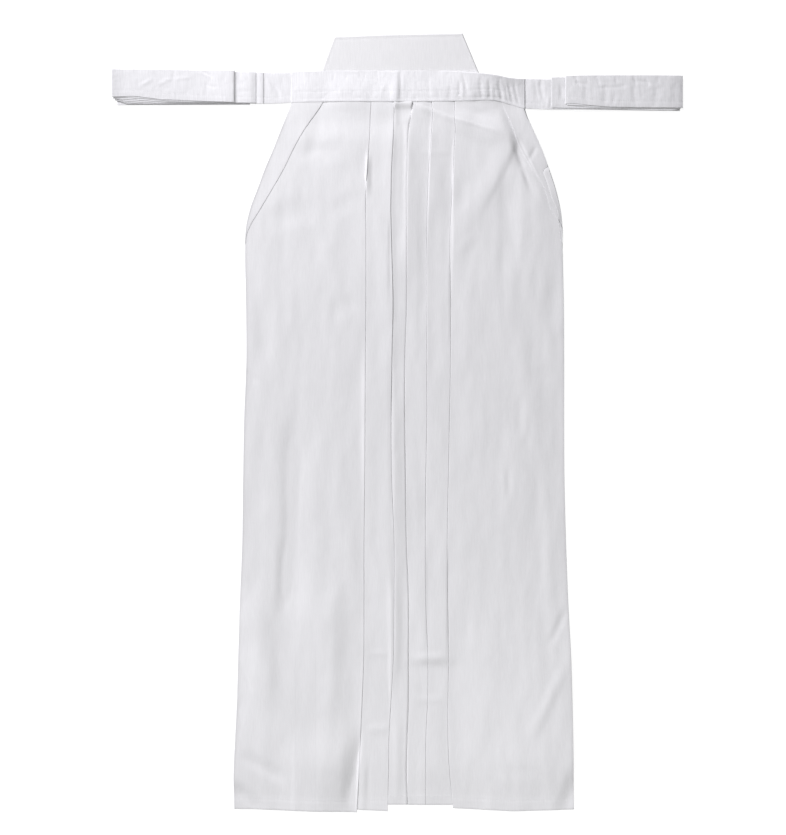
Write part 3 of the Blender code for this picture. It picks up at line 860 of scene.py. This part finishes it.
class Section:
    """Columns of a pleated front, from its side to its hidden inner edge.

    Each column has an x, a layer and a lift for every row, and the hem line that it ends on.
    """

    def __init__(self, height, start, hem):
        self.height = height
        self.columns = []
        self.add(start, 1.0, 0.0, hem)

    def add(self, x, layer, lift, hem):
        rows = [np.broadcast_to(value, self.height.shape) for value in (x, layer, lift)]
        self.columns.append((*rows, hem))

    def run(self, end, layer, count, hem, lift=0.0):
        start_x, start_layer, start_lift, _ = self.columns[-1]
        for i in range(1, count + 1):
            t = i / count
            self.add(mix(start_x, end, t), mix(start_layer, layer, t), mix(start_lift, lift, t), hem)

    def turn(self, centre, outward, top_layer, lift, hem):
        for out, up in HALF_TURN:
            self.add(centre + outward * FOLD_RADIUS * out, top_layer - 0.5 + 0.5 * up, lift, hem)

    def grid(self):
        """Points in metres."""
        x, layer, lift = (np.stack([column[k] for column in self.columns], axis=1) for k in range(3))
        hem = np.empty(x.shape)
        for j, column in enumerate(self.columns):
            stations = np.array(column[3])
            hem[:, j] = np.interp(x[0, j], stations[:, 0], stations[:, 1])
        height = laid_height(self.height[:, None], x, hem)
        z = layer_centre(x, height, layer) + lift + hem_form(height - hem)
        return in_metres(x, height, z)


def laid_height(height, x, hem):
    """Rows end on the uneven hem below and follow the waistband's lower edge above."""
    low = hem + height * (HEM_BLEND - hem) / HEM_BLEND
    top = BODY.height[-1]
    edge = band_edge("bottom", x) + PANEL_TUCK
    high = TOP_BLEND + (height - TOP_BLEND) * (edge - TOP_BLEND) / (top - TOP_BLEND)
    return np.where(height < HEM_BLEND, low, np.where(height > TOP_BLEND, high, height))


def hem_form(above_hem):
    """The turned-up hem is a little thicker, with a groove where it is sewn."""
    ply = HEM_PLY * (1 - smooth_step(above_hem, *HEM_PLY_END))
    edge = HEM_EDGE_SINK * (1 - smooth_step(above_hem, 0, HEM_EDGE_WIDTH))
    return ply + ridge(above_hem, HEM_GROOVE) - edge


def row_heights():
    """Rows of a front: close at the hem, even along the leg and closer again below the waist."""
    fine = np.arange(BODY.height[-1], FINE_FROM, -GRID / 2)[::-1]
    count = round((fine[0] - HEM_ROWS[-1]) / GRID)
    even = [mix(HEM_ROWS[-1], fine[0], (i + 1) / count) for i in range(count)]
    return np.array(HEM_ROWS + even + list(fine[1:]))


def pleated_front(height, side, inward, front):
    """Section of a front leg, with its panel, its pleats and the strips beside them."""
    folds, underlaps, tail, hems = front
    edges = [body_edge(fold, height) for fold in folds]
    section = Section(height, side, hems[0])
    for step in SIDE_STEPS:
        section.add(side + step * inward, 1.0, 0.0, hems[0])
    climbs_from = edges[0] - (underlaps[0] + FOLD_CLEARANCE + PANEL_RISE) * inward
    section.run(climbs_from, 1.0, PANEL_COLUMNS, hems[0])
    for i, (name, edge) in enumerate(zip(folds, edges)):
        lift, pinch = fold_form(name, "lift", height), fold_form(name, "pinch", height)
        bend = edge - FOLD_INSET * inward
        inner = edge - underlaps[i] * inward
        columns = STRIP_COLUMNS if i else CLIMB_COLUMNS
        section.run(inner - FOLD_CLEARANCE * inward, 3.0, columns, hems[i])
        for step in FOLD_STEPS:
            stands = lift * (1 - step / underlaps[i]) ** 2
            stands = stands + pinch * max(0.0, 1 - step / PINCH_WIDTH) ** 1.5
            section.add(bend - step * inward, 3.0, stands, hems[i])
        section.turn(bend, inward, 3.0, lift + pinch, hems[i])
        section.run(inner, 2.0, 5, hems[i])
        last = i == len(folds) - 1
        if last and tail is None:
            return section
        section.turn(inner, -inward, 2.0, 0.0, hems[i])
        beside = layer_beside(name, height)
        pocket = pocket_rise(height) if last else 0.0
        past = FOLD_CLEARANCE * inward
        section.run(edge - UNDER_EDGE * inward, 1.0, 3, hems[i + 1])
        section.run(edge + past, 1.0, 2, hems[i + 1])
        section.run(edge + past + CREVICE * inward, beside, 2, hems[i + 1], pocket)
        section.run(edge + past + 2 * CREVICE * inward, beside, 1, hems[i + 1], pocket)
    centre_strip(section, height, hems[-1], tail)
    return section


def pocket_rise(height):
    """The centre strip dips below the waistband, then climbs to it."""
    climb = smooth_step(height, *POCKET_CLIMB)
    dip = POCKET_DIP * smooth_step(height, *POCKET_SINK) * (1 - climb)
    return POCKET_RISE * climb * (1 - smooth_step(height, *POCKET_END)) - dip


def centre_strip(section, height, hem, tail):
    """The strip between the two fronts, down again beside the left front's inner pleat and under it."""
    edge = body_edge("left_inner", height)
    nearly = mix(1.0, layer_beside("left_inner", height), CENTRE_NEST)
    section.run(edge - FOLD_CLEARANCE - CREVICE, nearly, 8, hem, pocket_rise(height))
    section.run(edge - FOLD_CLEARANCE, 1.0, 2, hem)
    section.run(tail, 1.0, 3, hem)


def side_seam(x, height, side, inward):
    """The pressed side seam: drawn up on the right side, turned down on the left, less at the opening."""
    away = np.abs(x - side)
    if inward > 0:
        rise = RIGHT_EDGE_RISE * (1 - smooth_step(away, 0, RIGHT_EDGE_WIDTH))
        return rise * (1 - smooth_step(height, *RIGHT_EDGE_END))
    opens = smooth_step(side_inset(height), 0, OPENING_FULL)
    droop = mix(LEFT_EDGE_DROOP, OPENING_DROOP, opens)
    return -droop * (1 - smooth_step(away, 0, mix(LEFT_EDGE_WIDTH, OPENING_WIDTH, opens)))


def hip_groove(x, height):
    """The left panel sinks along the free edge of the side fold."""
    away = side_fold_edge("left_edge", height) - x
    reach = np.clip(np.where(away > 0, away / HIP_GROOVE_REACH, -away / HIP_GROOVE_SHORE), 0, 1)
    return -np.interp(height, HIP_GROOVE.height, HIP_GROOVE.depth) * (0.5 + 0.5 * np.cos(np.pi * reach))


def front_leg(material, side_name):
    """A front, pleated and hemmed, with its side seam pressed."""
    inward = INWARD[side_name]
    height = row_heights()
    side = front_side(side_name, height)
    grid = pleated_front(height, side, inward, FRONTS[side_name]).grid()
    x, laid = grid[:, :, 0] / MM, (grid[:, :, 1] - HEM_Y) / MM
    grid[:, :, 2] += MM * side_seam(x, laid, side[:, None], inward)
    if inward < 0:
        grid[:, :, 2] += MM * hip_groove(x, laid)
    upward = inward > 0
    sew("hem_stitches", grid[HEM_STITCH_ROW], face_normals(grid, upward)[HEM_STITCH_ROW], CLOTH)
    piece = cloth_sheet(side_name + "_front_cloth", grid, CLOTH, material, upward)
    declare_sheet(f"front_{side_name}_leg")


def side_fold(material, side_name):
    """A side fold, lying on the front panel from its free edge to the leg's side."""
    inward = INWARD[side_name]
    height = np.linspace(SIDE_FOLDS.height[0], SIDE_FOLDS.height[-1], SIDE_FOLD_ROWS)
    side = front_side(side_name, height)
    edge = side_fold_edge(side_name + "_edge", height)
    x = mix(side[:, None], edge[:, None], SIDE_FOLD_SHARES)
    laid = laid_height(height[:, None], x, 0.0)
    z = layer_centre(x, laid, 2.0)
    z += side_seam(x, laid, side[:, None], inward)
    sinks = 1 - smooth_step(np.abs(x - edge[:, None]), 0, SIDE_FOLD_EDGE)
    z -= (LAYER - CLOTH - SIDE_FOLD_GAP) * sinks
    grid = in_metres(x, laid, z)
    piece = cloth_sheet(side_name + "_side_fold_cloth", grid, CLOTH, material, upward=inward > 0)
    declare_sheet("side_fold_" + side_name)


def back_leg(material, side_name):
    """A back leg, flat on the surface. Where the left side opens, the back's edge comes up level with the
    front's, and falls away lower down."""
    inward = INWARD[side_name]
    height = np.linspace(*BACK_LENGTH, BACK_ROWS)
    side = body_edge(side_name + "_side", height)
    inset = side_inset(height) if inward < 0 else np.zeros_like(height)
    rim = (side + inward * np.maximum(inset - BACK_UNDER, BACK_RIM))[:, None]
    near = mix(side[:, None], rim, np.linspace(0, 1, 8))
    far_end = CENTRE_BACK - CENTRE_GAP * inward
    far = mix(rim + BACK_RIM_STEP * inward, far_end, np.linspace(0, 1, 24) ** 1.5)
    x = np.concatenate([near, far], axis=1)
    z = np.full_like(x, BACK_REST)
    if inward < 0:
        shows = smooth_step(height, *OPENING_SHOWS) * (1 - smooth_step(height, *OPENING_HIDES))
        slit = (side - inset)[:, None]
        edge = layer_centre(slit, height[:, None], 2.0) + side_seam(slit, height[:, None], slit, inward)
        falls = 1 - smooth_step(height, *OPENING_FALLS)[:, None]
        reach = mix(BACK_RIM, np.maximum(inset, 1.0)[:, None], falls)
        swell = mix(OPENING_RIM, -OPENING_FALL, falls) * smooth_step(x, slit, slit + reach)
        raised = np.maximum(edge + (CLOTH - BACK_CLOTH) / 2 - BACK_GAP + swell, BACK_REST)
        z = mix(z, raised, shows[:, None] * (np.arange(x.shape[1]) < near.shape[1]))
    grid = in_metres(x, np.broadcast_to(height[:, None], x.shape), z)
    piece = cloth_sheet(side_name + "_back_cloth", grid, BACK_CLOTH, material, upward=inward > 0)
    declare_sheet(f"back_{side_name}_leg")


# ---------------------------------------------------------------------------- band, ties and board

def climbing(x, start, start_layer, end, end_layer=3.0):
    """Layer of a strip that climbs from its start to its end."""
    return mix(start_layer, end_layer, np.clip((x - start) / (end - start), 0, 1))


def showing_layer(x, height):
    """Layer of the fronts that shows at each place."""
    names = ("right_outer", "right_inner", "left_inner", "left_middle", "left_outer")
    edge = {name: body_edge(name, height) for name in names}
    beside = {name: layer_beside(name, height) for name in names}
    under, centre_under = PLEAT_UNDERLAP + FOLD_CLEARANCE, CENTRE_UNDERLAP + FOLD_CLEARANCE
    outer, inner, middle = edge["right_outer"], edge["right_inner"], edge["left_inner"]
    left_middle, left_outer = edge["left_middle"], edge["left_outer"]
    left_panel = climbing(x, left_outer + under + PANEL_RISE, 1.0, left_outer + under)
    shown = (
        (side_fold_edge("right_edge", height), 2.0),
        (outer, climbing(x, outer - under - PANEL_RISE, 1.0, outer - under)),
        (inner, climbing(x, outer, beside["right_outer"], inner - under)),
        (middle, 3.0 + 0 * x),
        (left_middle, climbing(x, left_middle, beside["left_middle"], middle + centre_under)),
        (left_outer, climbing(x, left_outer, beside["left_outer"], left_middle + under)),
        (side_fold_edge("left_edge", height), left_panel),
    )
    return np.select([x < end for end, _ in shown], [layer + 0 * x for _, layer in shown], 2.0)


def draped(z):
    """A line of cloth laid over steps: never below them, and rounded between them."""
    around = np.concatenate([z[:1], z[:1], z, z[-1:], z[-1:]])
    return softened(np.max([around[i:i + len(z)] for i in range(5)], axis=0))


def band_front(x, height, foot):
    """Middle of the cloth of the waistband's front wall."""
    top, bottom = band_edge("top", x), band_edge("bottom", x)
    back = support_height(x, top) - BACK_TOP + LOWEST_LAYER
    share = smooth_step(height, bottom + BAND_FLAT, top - FOLD_INSET)
    z = mix(foot, back + LAYER, share)
    up = height - bottom
    roll = sum(ridge(up, form) for form in BAND_ROLL)
    roll -= BAND_EDGE_SINK * (1 - smooth_step(up, 0, BAND_EDGE_WIDTH))
    past = np.clip((x - TWIST.crest) / (TWIST.end - TWIST.crest), 0, 1)
    twist = smooth_step(x, TWIST.start, TWIST.crest) * (1 - past * past)
    stands = mix(TWIST.foot, TWIST.head, np.clip(up / (top - bottom), 0, 1))
    z = z + twist * stands * smooth_step(up, *TWIST_FOOT)
    wave = waved(0, x, height, BAND_WAVES) + wrinkles(x, height, BAND_WRINKLES)
    fade = smooth_step(up, 0, BAND_LOWER_FADE) * smooth_step(top - height, 0, BAND_UPPER_FADE)
    z = z + roll + ridge(up, BAND_SEAM) + (crease_height(BAND_CREASES, x, height) + wave) * fade
    z = z - BAND_END_SINK * (1 - smooth_step(x - BAND.x[0], 0, BAND_END_WIDTH))
    z = z - 0.5 * BAND_END_SINK * smooth_step(x, BAND.x[-1] - BAND_LEFT_END_WIDTH, BAND.x[-1])
    lowest = np.where(up < PANEL_TUCK, foot - BAND_SLACK, back + BAND_CLOTH + BAND_GAP)
    return np.maximum(z, lowest)


def front_band(material):
    """The waistband: a strip folded over the pleats, open at its lower edge."""
    x = np.linspace(BAND.x[0], BAND.x[-1], BAND_COLUMNS)
    top, bottom = band_edge("top", x), band_edge("bottom", x)
    foot = draped(layer_centre(x, bottom, showing_layer(x, bottom)))
    foot = foot + (CLOTH + BAND_CLOTH) / 2 + BAND_GAP
    columns = []
    for share in BAND_SHARES:
        height = mix(bottom, top - FOLD_INSET, share)
        columns.append((height, band_front(x, height, foot)))
    z_top = columns[-1][1]
    back = support_height(x, top) - BACK_TOP + LOWEST_LAYER
    for out, up in HALF_TURN:
        columns.append((top - FOLD_INSET + FOLD_RADIUS * out, mix(back, z_top, 0.5 + 0.5 * up)))
    for share in (0.25, 0.5, 0.75, 1.0):
        columns.append((top - mix(FOLD_INSET, BAND_HEM_DEPTH, share), back))
    heights, z = (np.stack(values, axis=1) for values in zip(*columns))
    grid = in_metres(np.broadcast_to(x[:, None], heights.shape), heights, z)
    at = BAND_STITCH_COLUMN
    line = mix(grid[:, at], grid[:, at + 1], 0.5)
    sew("band_stitches", line, face_normals(grid, False)[:, at], BAND_CLOTH)
    piece = cloth_sheet("waistband_cloth", grid, BAND_CLOTH, material, upward=False)
    declare_sheet("front_band")


def softened(values):
    """Rounds the corners of a line of values."""
    for _ in range(SOFTENING):
        inner = (values[:-2] + 2 * values[1:-1] + values[2:]) / 4
        values = np.concatenate([values[:1], inner, values[-1:]])
    return values


def strap_press(x):
    """The folded ends stand up at the right tie and are pressed down at the left one."""
    length = STRAP_END.end - STRAP_END.start
    up = STRAP_END.rise * np.clip((-x - STRAP_END.start) / length, 0, 1) ** 2
    down = STRAP_END.press * np.clip((x - STRAP_END.start) / length, 0, 1) ** 2
    return 1 + up - down


def strap(material, node):
    """A tie: a flat strip that runs to and fro, climbing one layer at each fold."""
    stack = STACKS[node.split("_")[-1]]
    stations = [StrapStation(*row) for row in STRAPS[node]]
    first = stations[0]
    path = [(first.x, np.interp(first.layer, *stack), first.bottom, first.top)]
    for before, station in zip(stations, stations[1:]):
        outward = math.copysign(1, station.x - before.x)
        z, above = np.interp((station.layer, station.layer + 1), *stack)
        radius = (above - z) / 2
        end = station.x - outward * (radius + STRAP_CLOTH / 2) if station.turn else station.x
        count = max(3, round(abs(end - path[-1][0]) / STRAP_COLUMN))
        ends = list(zip(path[-1], (end, z, station.bottom, station.top)))
        path += [tuple(mix(a, b, i / count) for a, b in ends) for i in range(1, count + 1)]
        if station.turn:
            for out, up in HALF_TURN:
                x = end + outward * radius * out
                path.append((x, z + radius * (1 - up), station.bottom, station.top))
    x, z, bottom, top = (np.array(values)[:, None] for values in zip(*path))
    bottom, top = softened(bottom), softened(top)
    z = z * strap_press(x)
    height = mix(bottom, top, STRAP_SHARES)
    x = np.broadcast_to(x, height.shape)
    weight = np.clip((z - STRAP_REST) / STRAP_FORMED, 0, 1)
    from_edge = np.minimum(STRAP_SHARES, 1 - STRAP_SHARES) * (top - bottom)
    form = STRAP_PUFF * smooth_step(from_edge, 0, STRAP_PUFF_WIDTH) + ridge(height - bottom, STRAP_SEAM)
    wave = waved(0, x, height, STRAP_WAVES) + wrinkles(x, height, STRAP_WRINKLES)
    form = form + crease_height(STRAP_CREASES, x, height) + wave
    grid = in_metres(x, height, np.maximum(z + form * weight, STRAP_REST))
    at = STRAP_STITCH_ROW
    line, normal = mix(grid[:, at], grid[:, at + 1], 0.4), face_normals(grid, True)[:, at]
    sew(node + "_stitches", line, normal, STRAP_CLOTH)
    sew(node + "_stitches", line, -normal, STRAP_CLOTH)
    piece = cloth_sheet(node + "_cloth", grid, STRAP_CLOTH, material)
    declare_sheet(node)


def koshi_ita(material):
    """The back board, cloth drawn over card, with a corded look along its sewn edge."""
    across, up = np.meshgrid(BOARD_SHARES, BOARD_SHARES)
    low = mix(BOARD_LOW_RIGHT[0], BOARD_TOP_RIGHT[0], up)
    high = mix(BOARD_LOW_LEFT[0], BOARD_TOP_LEFT[0], up)
    x = mix(low, high, across)
    tops = np.array([BOARD_TOP_RIGHT, BOARD_TOP_MIDDLE, BOARD_TOP_LEFT])
    top = smooth_curve(mix(BOARD_TOP_RIGHT[0], BOARD_TOP_LEFT[0], across), tops[:, 0], tops[:, 1])
    height = mix(BOARD_LOW_RIGHT[1], top, up)
    away = np.min([x - low, high - x, height - BOARD_LOW_RIGHT[1], top - height], axis=0)
    inside = np.clip(away / BOARD_ROUNDING, 0, 1)
    round_edge = BOARD_EDGE_FALL * (1 - np.sqrt(np.clip(1 - (1 - inside) ** 2, 0, 1)))
    rim = sum(ridge(away, form) for form in BOARD_RIM)
    surface = waved(BOARD_FACE - round_edge + rim, x, height, [BOARD_WAVE])
    upper = in_metres(x, height, surface)
    lower = in_metres(x, height, np.full_like(x, BOARD_UNDERSIDE) + 0.5 * round_edge)
    rows, columns = x.shape
    count = rows * columns
    faces = grid_faces(rows, columns)
    faces += [[index + count for index in face] for face in grid_faces(rows, columns, upward=False)]
    ring = list(range(columns))
    ring += [i * columns + columns - 1 for i in range(1, rows)]
    ring += [(rows - 1) * columns + j for j in range(columns - 2, -1, -1)]
    ring += [i * columns for i in range(rows - 2, 0, -1)]
    for a, b in zip(ring, ring[1:] + ring[:1]):
        faces.append([b, a, a + count, b + count])
    points = np.concatenate([upper.reshape(-1, 3), lower.reshape(-1, 3)])
    seam = np.array((BOARD_LOW_RIGHT, BOARD_TOP_RIGHT, BOARD_TOP_LEFT, BOARD_LOW_LEFT))
    seam += BOARD_SEAM * np.array(((1.1, 1), (1.1, -1), (-1.1, -1), (-1.1, 1)))
    t = np.linspace(0, 1, BOARD_SEAM_POINTS)
    for (x0, h0), (x1, h1) in zip(seam, seam[1:]):
        line = in_metres(mix(x0, x1, t), mix(h0, h1, t), np.full_like(t, BOARD_SEAM_FACE))
        sew("board_stitches", line, np.tile((0.0, 0.0, 1.0), (len(t), 1)), 0.0)
    piece = new_piece("koshi_ita_cloth", points, faces, material)
    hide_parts("koshi_ita")


# ---------------------------------------------------------------------------- materials

TWILL_SLOPE = 0.55
SLUB_STRETCH = (900.0, 60.0, 900.0)
CLOUD_STRETCH = (1.0, 0.4, 1.0)
CLOUD_SHADE = 0.035
SEAM_SOFTNESS = 0.0009
COTTON = {"Roughness": 0.86, "Specular IOR Level": 0.22, "Sheen Weight": 0.10, "Sheen Roughness": 0.45}
RELIEF_DEPTH = 0.0001
SLUB_RELIEF = 0.8
PALE_FLOOR = {
    "Base Color": (0.30, 0.30, 0.30, 1.0),
    "Roughness": 0.9,
    "Specular IOR Level": 0.0,
    "Emission Color": (1.0, 1.0, 1.0, 1.0),
    "Emission Strength": 0.85,
}
PaintedSeamShade = namedtuple("PaintedSeamShade", "from_x to_x low high fade shade edge_shade")
# Painted shade where hidden layers lie beneath the front: place in millimetres, then how much the painted
# shade darkens the cloth over the band and at its edges.
PAINTED_SEAM_SHADES = (
    PaintedSeamShade(-137.3, -109.5, 0, 275, 90, 0.016, 0.03),
    PaintedSeamShade(137.6, 193.0, 60, 360, 120, 0.008, 0.02),
)


def fill(tree, node, inputs):
    """Gives inputs of a node a value each, or another node's output."""
    for name, source in inputs.items():
        if isinstance(source, bpy.types.NodeSocket):
            tree.links.new(source, node.inputs[name])
        else:
            node.inputs[name].default_value = source
    return node


def add_node(tree, kind, inputs, **settings):
    node = tree.nodes.new("ShaderNode" + kind)
    for name, value in settings.items():
        setattr(node, name, value)
    return fill(tree, node, inputs)


def math_node(tree, operation, a, b=None, clamp=False):
    inputs = {0: a} if b is None else {0: a, 1: b}
    return add_node(tree, "Math", inputs, operation=operation, use_clamp=clamp).outputs[0]


def step_node(tree, value, low, high, start=0.0, end=1.0):
    """A smooth step from start to end while the value goes from low to high."""
    inputs = {"Value": value, "From Min": low, "From Max": high, "To Min": start, "To Max": end}
    return add_node(tree, "MapRange", inputs, interpolation_type="SMOOTHSTEP").outputs["Result"]


def stretched_noise(tree, place, stretch, **inputs):
    """Cloudy noise, stretched along the cloth."""
    placed = add_node(tree, "Mapping", {"Vector": place, "Scale": stretch})
    return add_node(tree, "TexNoise", {"Vector": placed.outputs[0], **inputs}).outputs["Fac"]


def node_group(name, inputs, outputs):
    """A shader node group that takes a place and numbers, and gives numbers."""
    group = bpy.data.node_groups.new(name, "ShaderNodeTree")
    group.interface.new_socket("Place", in_out="INPUT", socket_type="NodeSocketVector")
    for socket, value in inputs.items():
        made = group.interface.new_socket(socket, in_out="INPUT", socket_type="NodeSocketFloat")
        made.default_value = value
    for socket in outputs:
        group.interface.new_socket(socket, in_out="OUTPUT", socket_type="NodeSocketFloat")
    given = group.nodes.new("NodeGroupInput").outputs
    return group, given, group.nodes.new("NodeGroupOutput")


def twill_weave():
    """Fine diagonal ribs of a twill, with threads of uneven thickness."""
    group, given, made = node_group("twill_weave", {"Ribs per metre": 1300.0}, ("Rib", "Slub"))
    parts = add_node(group, "SeparateXYZ", {0: given["Place"]}).outputs
    slanted = math_node(group, "ADD", parts["X"], math_node(group, "MULTIPLY", parts["Y"], TWILL_SLOPE))
    turns = math_node(group, "MULTIPLY", slanted, given["Ribs per metre"])
    wave = math_node(group, "SINE", math_node(group, "MULTIPLY", turns, 2 * math.pi))
    slub = stretched_noise(group, given["Place"], SLUB_STRETCH, Scale=1.0, Detail=2.0)
    fill(group, made, {"Rib": math_node(group, "MULTIPLY_ADD", wave, 0.5), "Slub": slub})
    return group


def uneven_white():
    """Soft cloudy shade of washed white cloth."""
    group, given, made = node_group("uneven_white", {"Cloud size": 0.05}, ("Shade",))
    scale = math_node(group, "DIVIDE", 1.0, given["Cloud size"])
    shade = stretched_noise(group, given["Place"], CLOUD_STRETCH, Scale=scale, Detail=3.0, Roughness=0.55)
    fill(group, made, {"Shade": shade})
    return group


def painted_seam_shade():
    """Mask for painted shade over a band of hidden cloth, such as a seam allowance, beneath the front, over
    its width and at its edges.
    """
    sizes = {"From X": 0.0, "To X": 0.02, "Low Y": -0.5, "High Y": 0.0, "Fade": 0.12}
    group, given, made = node_group("painted_seam_shade", sizes, ("Band", "Edge"))
    parts = add_node(group, "SeparateXYZ", {0: given["Place"]}).outputs

    def times(a, b, clamp=False):
        return math_node(group, "MULTIPLY", a, b, clamp)

    def step_at(edge, start, end):
        low, high = (math_node(group, side, given[edge], SEAM_SOFTNESS) for side in ("SUBTRACT", "ADD"))
        return step_node(group, parts["X"], low, high, start, end)

    enter = step_at("From X", 0.0, 1.0)
    leave = step_at("To X", 1.0, 0.0)
    fade_from = math_node(group, "SUBTRACT", given["High Y"], given["Fade"])
    faded = step_node(group, parts["Y"], fade_from, given["High Y"], 1.0, 0.0)
    length = times(faded, math_node(group, "GREATER_THAN", parts["Y"], given["Low Y"]))
    near_ends = [times(step, math_node(group, "SUBTRACT", 1.0, step)) for step in (enter, leave)]
    both = times(math_node(group, "ADD", *near_ends), 4.0, clamp=True)
    fill(group, made, {"Band": times(times(enter, leave), length), "Edge": times(both, length)})
    return group


def seam_shades(tree, painted_shade, place):
    """Painted shade: how much each hidden seam darkens the cloth's colour, over its width and at its edges.
    """
    for band_shade in PAINTED_SEAM_SHADES:
        sizes = {
            "From X": band_shade.from_x * MM,
            "To X": band_shade.to_x * MM,
            "Low Y": HEM_Y + band_shade.low * MM,
            "High Y": HEM_Y + band_shade.high * MM,
            "Fade": band_shade.fade * MM,
        }
        seam = add_node(tree, "Group", {"Place": place, **sizes}, node_tree=painted_shade)
        yield math_node(tree, "MULTIPLY", seam.outputs["Band"], band_shade.shade)
        yield math_node(tree, "MULTIPLY", seam.outputs["Edge"], band_shade.edge_shade)


def cloth_material(name, colour, weave, clouds, painted_shade=None, slubs=0.11, depth=0.35):
    """White twill. slubs is how much uneven threads shade it, depth how deep its ribs are."""
    material = bpy.data.materials.new(name)
    material.use_nodes = True
    tree = material.node_tree
    place = tree.nodes.new("ShaderNodeTexCoord").outputs["Object"]
    twill = add_node(tree, "Group", {"Place": place}, node_tree=weave).outputs
    cloud = add_node(tree, "Group", {"Place": place}, node_tree=clouds).outputs
    cloudy = math_node(tree, "MULTIPLY", math_node(tree, "SUBTRACT", cloud["Shade"], 0.5), CLOUD_SHADE)
    slubby = math_node(tree, "MULTIPLY", math_node(tree, "SUBTRACT", twill["Slub"], 0.5), slubs)
    shade = math_node(tree, "ADD", cloudy, slubby)
    # painted shade over the hidden seams darkens the base colour
    for darker in seam_shades(tree, painted_shade, place) if painted_shade else ():
        shade = math_node(tree, "SUBTRACT", shade, darker)
    brightness = math_node(tree, "ADD", shade, 1.0)
    tint = {"Factor": 1.0, "A": (*colour, 1.0), "B": brightness}
    base = add_node(tree, "Mix", tint, data_type="RGBA", blend_type="MULTIPLY").outputs["Result"]
    relief = math_node(tree, "ADD", twill["Rib"], math_node(tree, "MULTIPLY", twill["Slub"], SLUB_RELIEF))
    bump = add_node(tree, "Bump", {"Strength": depth, "Distance": RELIEF_DEPTH, "Height": relief})
    shader = tree.nodes["Principled BSDF"]
    fill(tree, shader, {**COTTON, "Base Color": base, "Normal": bump.outputs[0]})
    return material


def floor_material():
    material = bpy.data.materials.new("pale_floor")
    material.use_nodes = True
    fill(material.node_tree, material.node_tree.nodes["Principled BSDF"], PALE_FLOOR)
    return material


# ---------------------------------------------------------------------------- floor, light and camera

FLOOR_SIZE = 30.0
DAYLIGHT = (0.998, 0.985, 1.025)
WHITE = (1.0, 1.0, 1.0)
ROOM_BRIGHTNESS = 0.196
Lamp = namedtuple("Lamp", "name place target size power colour")
# In metres and watts.
LAMPS = (
    Lamp("window", (-2.6, 2.9, 2.1), (0.0, 0.0, 0.0), 1.6, 217.0, DAYLIGHT),
    Lamp("near_waist", (-0.1, 0.6, 0.3), (-0.06, 0.3, 0.0), 0.3, 0.30, DAYLIGHT),
    Lamp("hem_side", (0.1, -0.75, 0.9), (0.0, -0.3, 0.0), 0.6, 3.4, WHITE),
)
FRAMED_LENGTH = 1.12725
CAMERA_CENTRE = (-0.0054, 0.0069)
CAMERA_HEIGHT = 3.0


def floor():
    bpy.ops.mesh.primitive_plane_add(size=FLOOR_SIZE)
    plane = bpy.context.object
    plane.name = "floor"
    plane.data.materials.append(floor_material())
    plane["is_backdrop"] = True


def studio_light():
    """Soft square lamps in a softly lit room."""
    for lamp in LAMPS:
        data = bpy.data.lights.new(lamp.name, "AREA")
        data.shape = "SQUARE"
        data.size = lamp.size
        data.energy = lamp.power
        data.color = lamp.colour
        light = bpy.data.objects.new(lamp.name, data)
        light.location = lamp.place
        aim = Vector(lamp.target) - Vector(lamp.place)
        light.rotation_euler = aim.to_track_quat("-Z", "Y").to_euler()
        light.visible_camera = False
        bpy.context.scene.collection.objects.link(light)
    world = bpy.data.worlds.new("studio")
    world.use_nodes = True
    room = {"Color": (*WHITE, 1.0), "Strength": ROOM_BRIGHTNESS}
    fill(world.node_tree, world.node_tree.nodes["Background"], room)
    bpy.context.scene.world = world
    bpy.context.scene.view_settings.view_transform = "Standard"


def camera():
    """Straight above the garment, framed with the long side along its length."""
    data = bpy.data.cameras.new("camera")
    data.sensor_width = 36.0
    data.lens = data.sensor_width * CAMERA_HEIGHT / FRAMED_LENGTH
    data.clip_end = 50.0
    viewer = bpy.data.objects.new("camera", data)
    viewer.location = (*CAMERA_CENTRE, CAMERA_HEIGHT + LOWEST_LAYER * MM)
    bpy.context.scene.collection.objects.link(viewer)
    bpy.context.scene.camera = viewer


# ---------------------------------------------------------------------------- all together

def main():
    weave, clouds = twill_weave(), uneven_white()
    body_cloth = cloth_material("body_cloth", (0.80, 0.80, 0.81), weave, clouds, painted_seam_shade())
    band_cloth = cloth_material("band_cloth", (0.82, 0.82, 0.835), weave, clouds, slubs=0.24, depth=0.6)
    board_cloth = cloth_material("board_cloth", (0.79, 0.79, 0.795), weave, clouds, slubs=0.14, depth=0.7)
    for build in (front_leg, side_fold, back_leg):
        for side_name in ("right", "left"):
            build(body_cloth, side_name)
    front_band(band_cloth)
    for node in STRAPS:
        strap(band_cloth, node)
    koshi_ita(board_cloth)
    sewn_rows(cloth_material("white_thread", (0.84, 0.84, 0.85), weave, clouds))
    floor()
    studio_light()
    camera()


main()

boxes = {"cad": cad_box, "visual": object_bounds()}
{name: [list(corner) for corner in box] for name, box in boxes.items()}
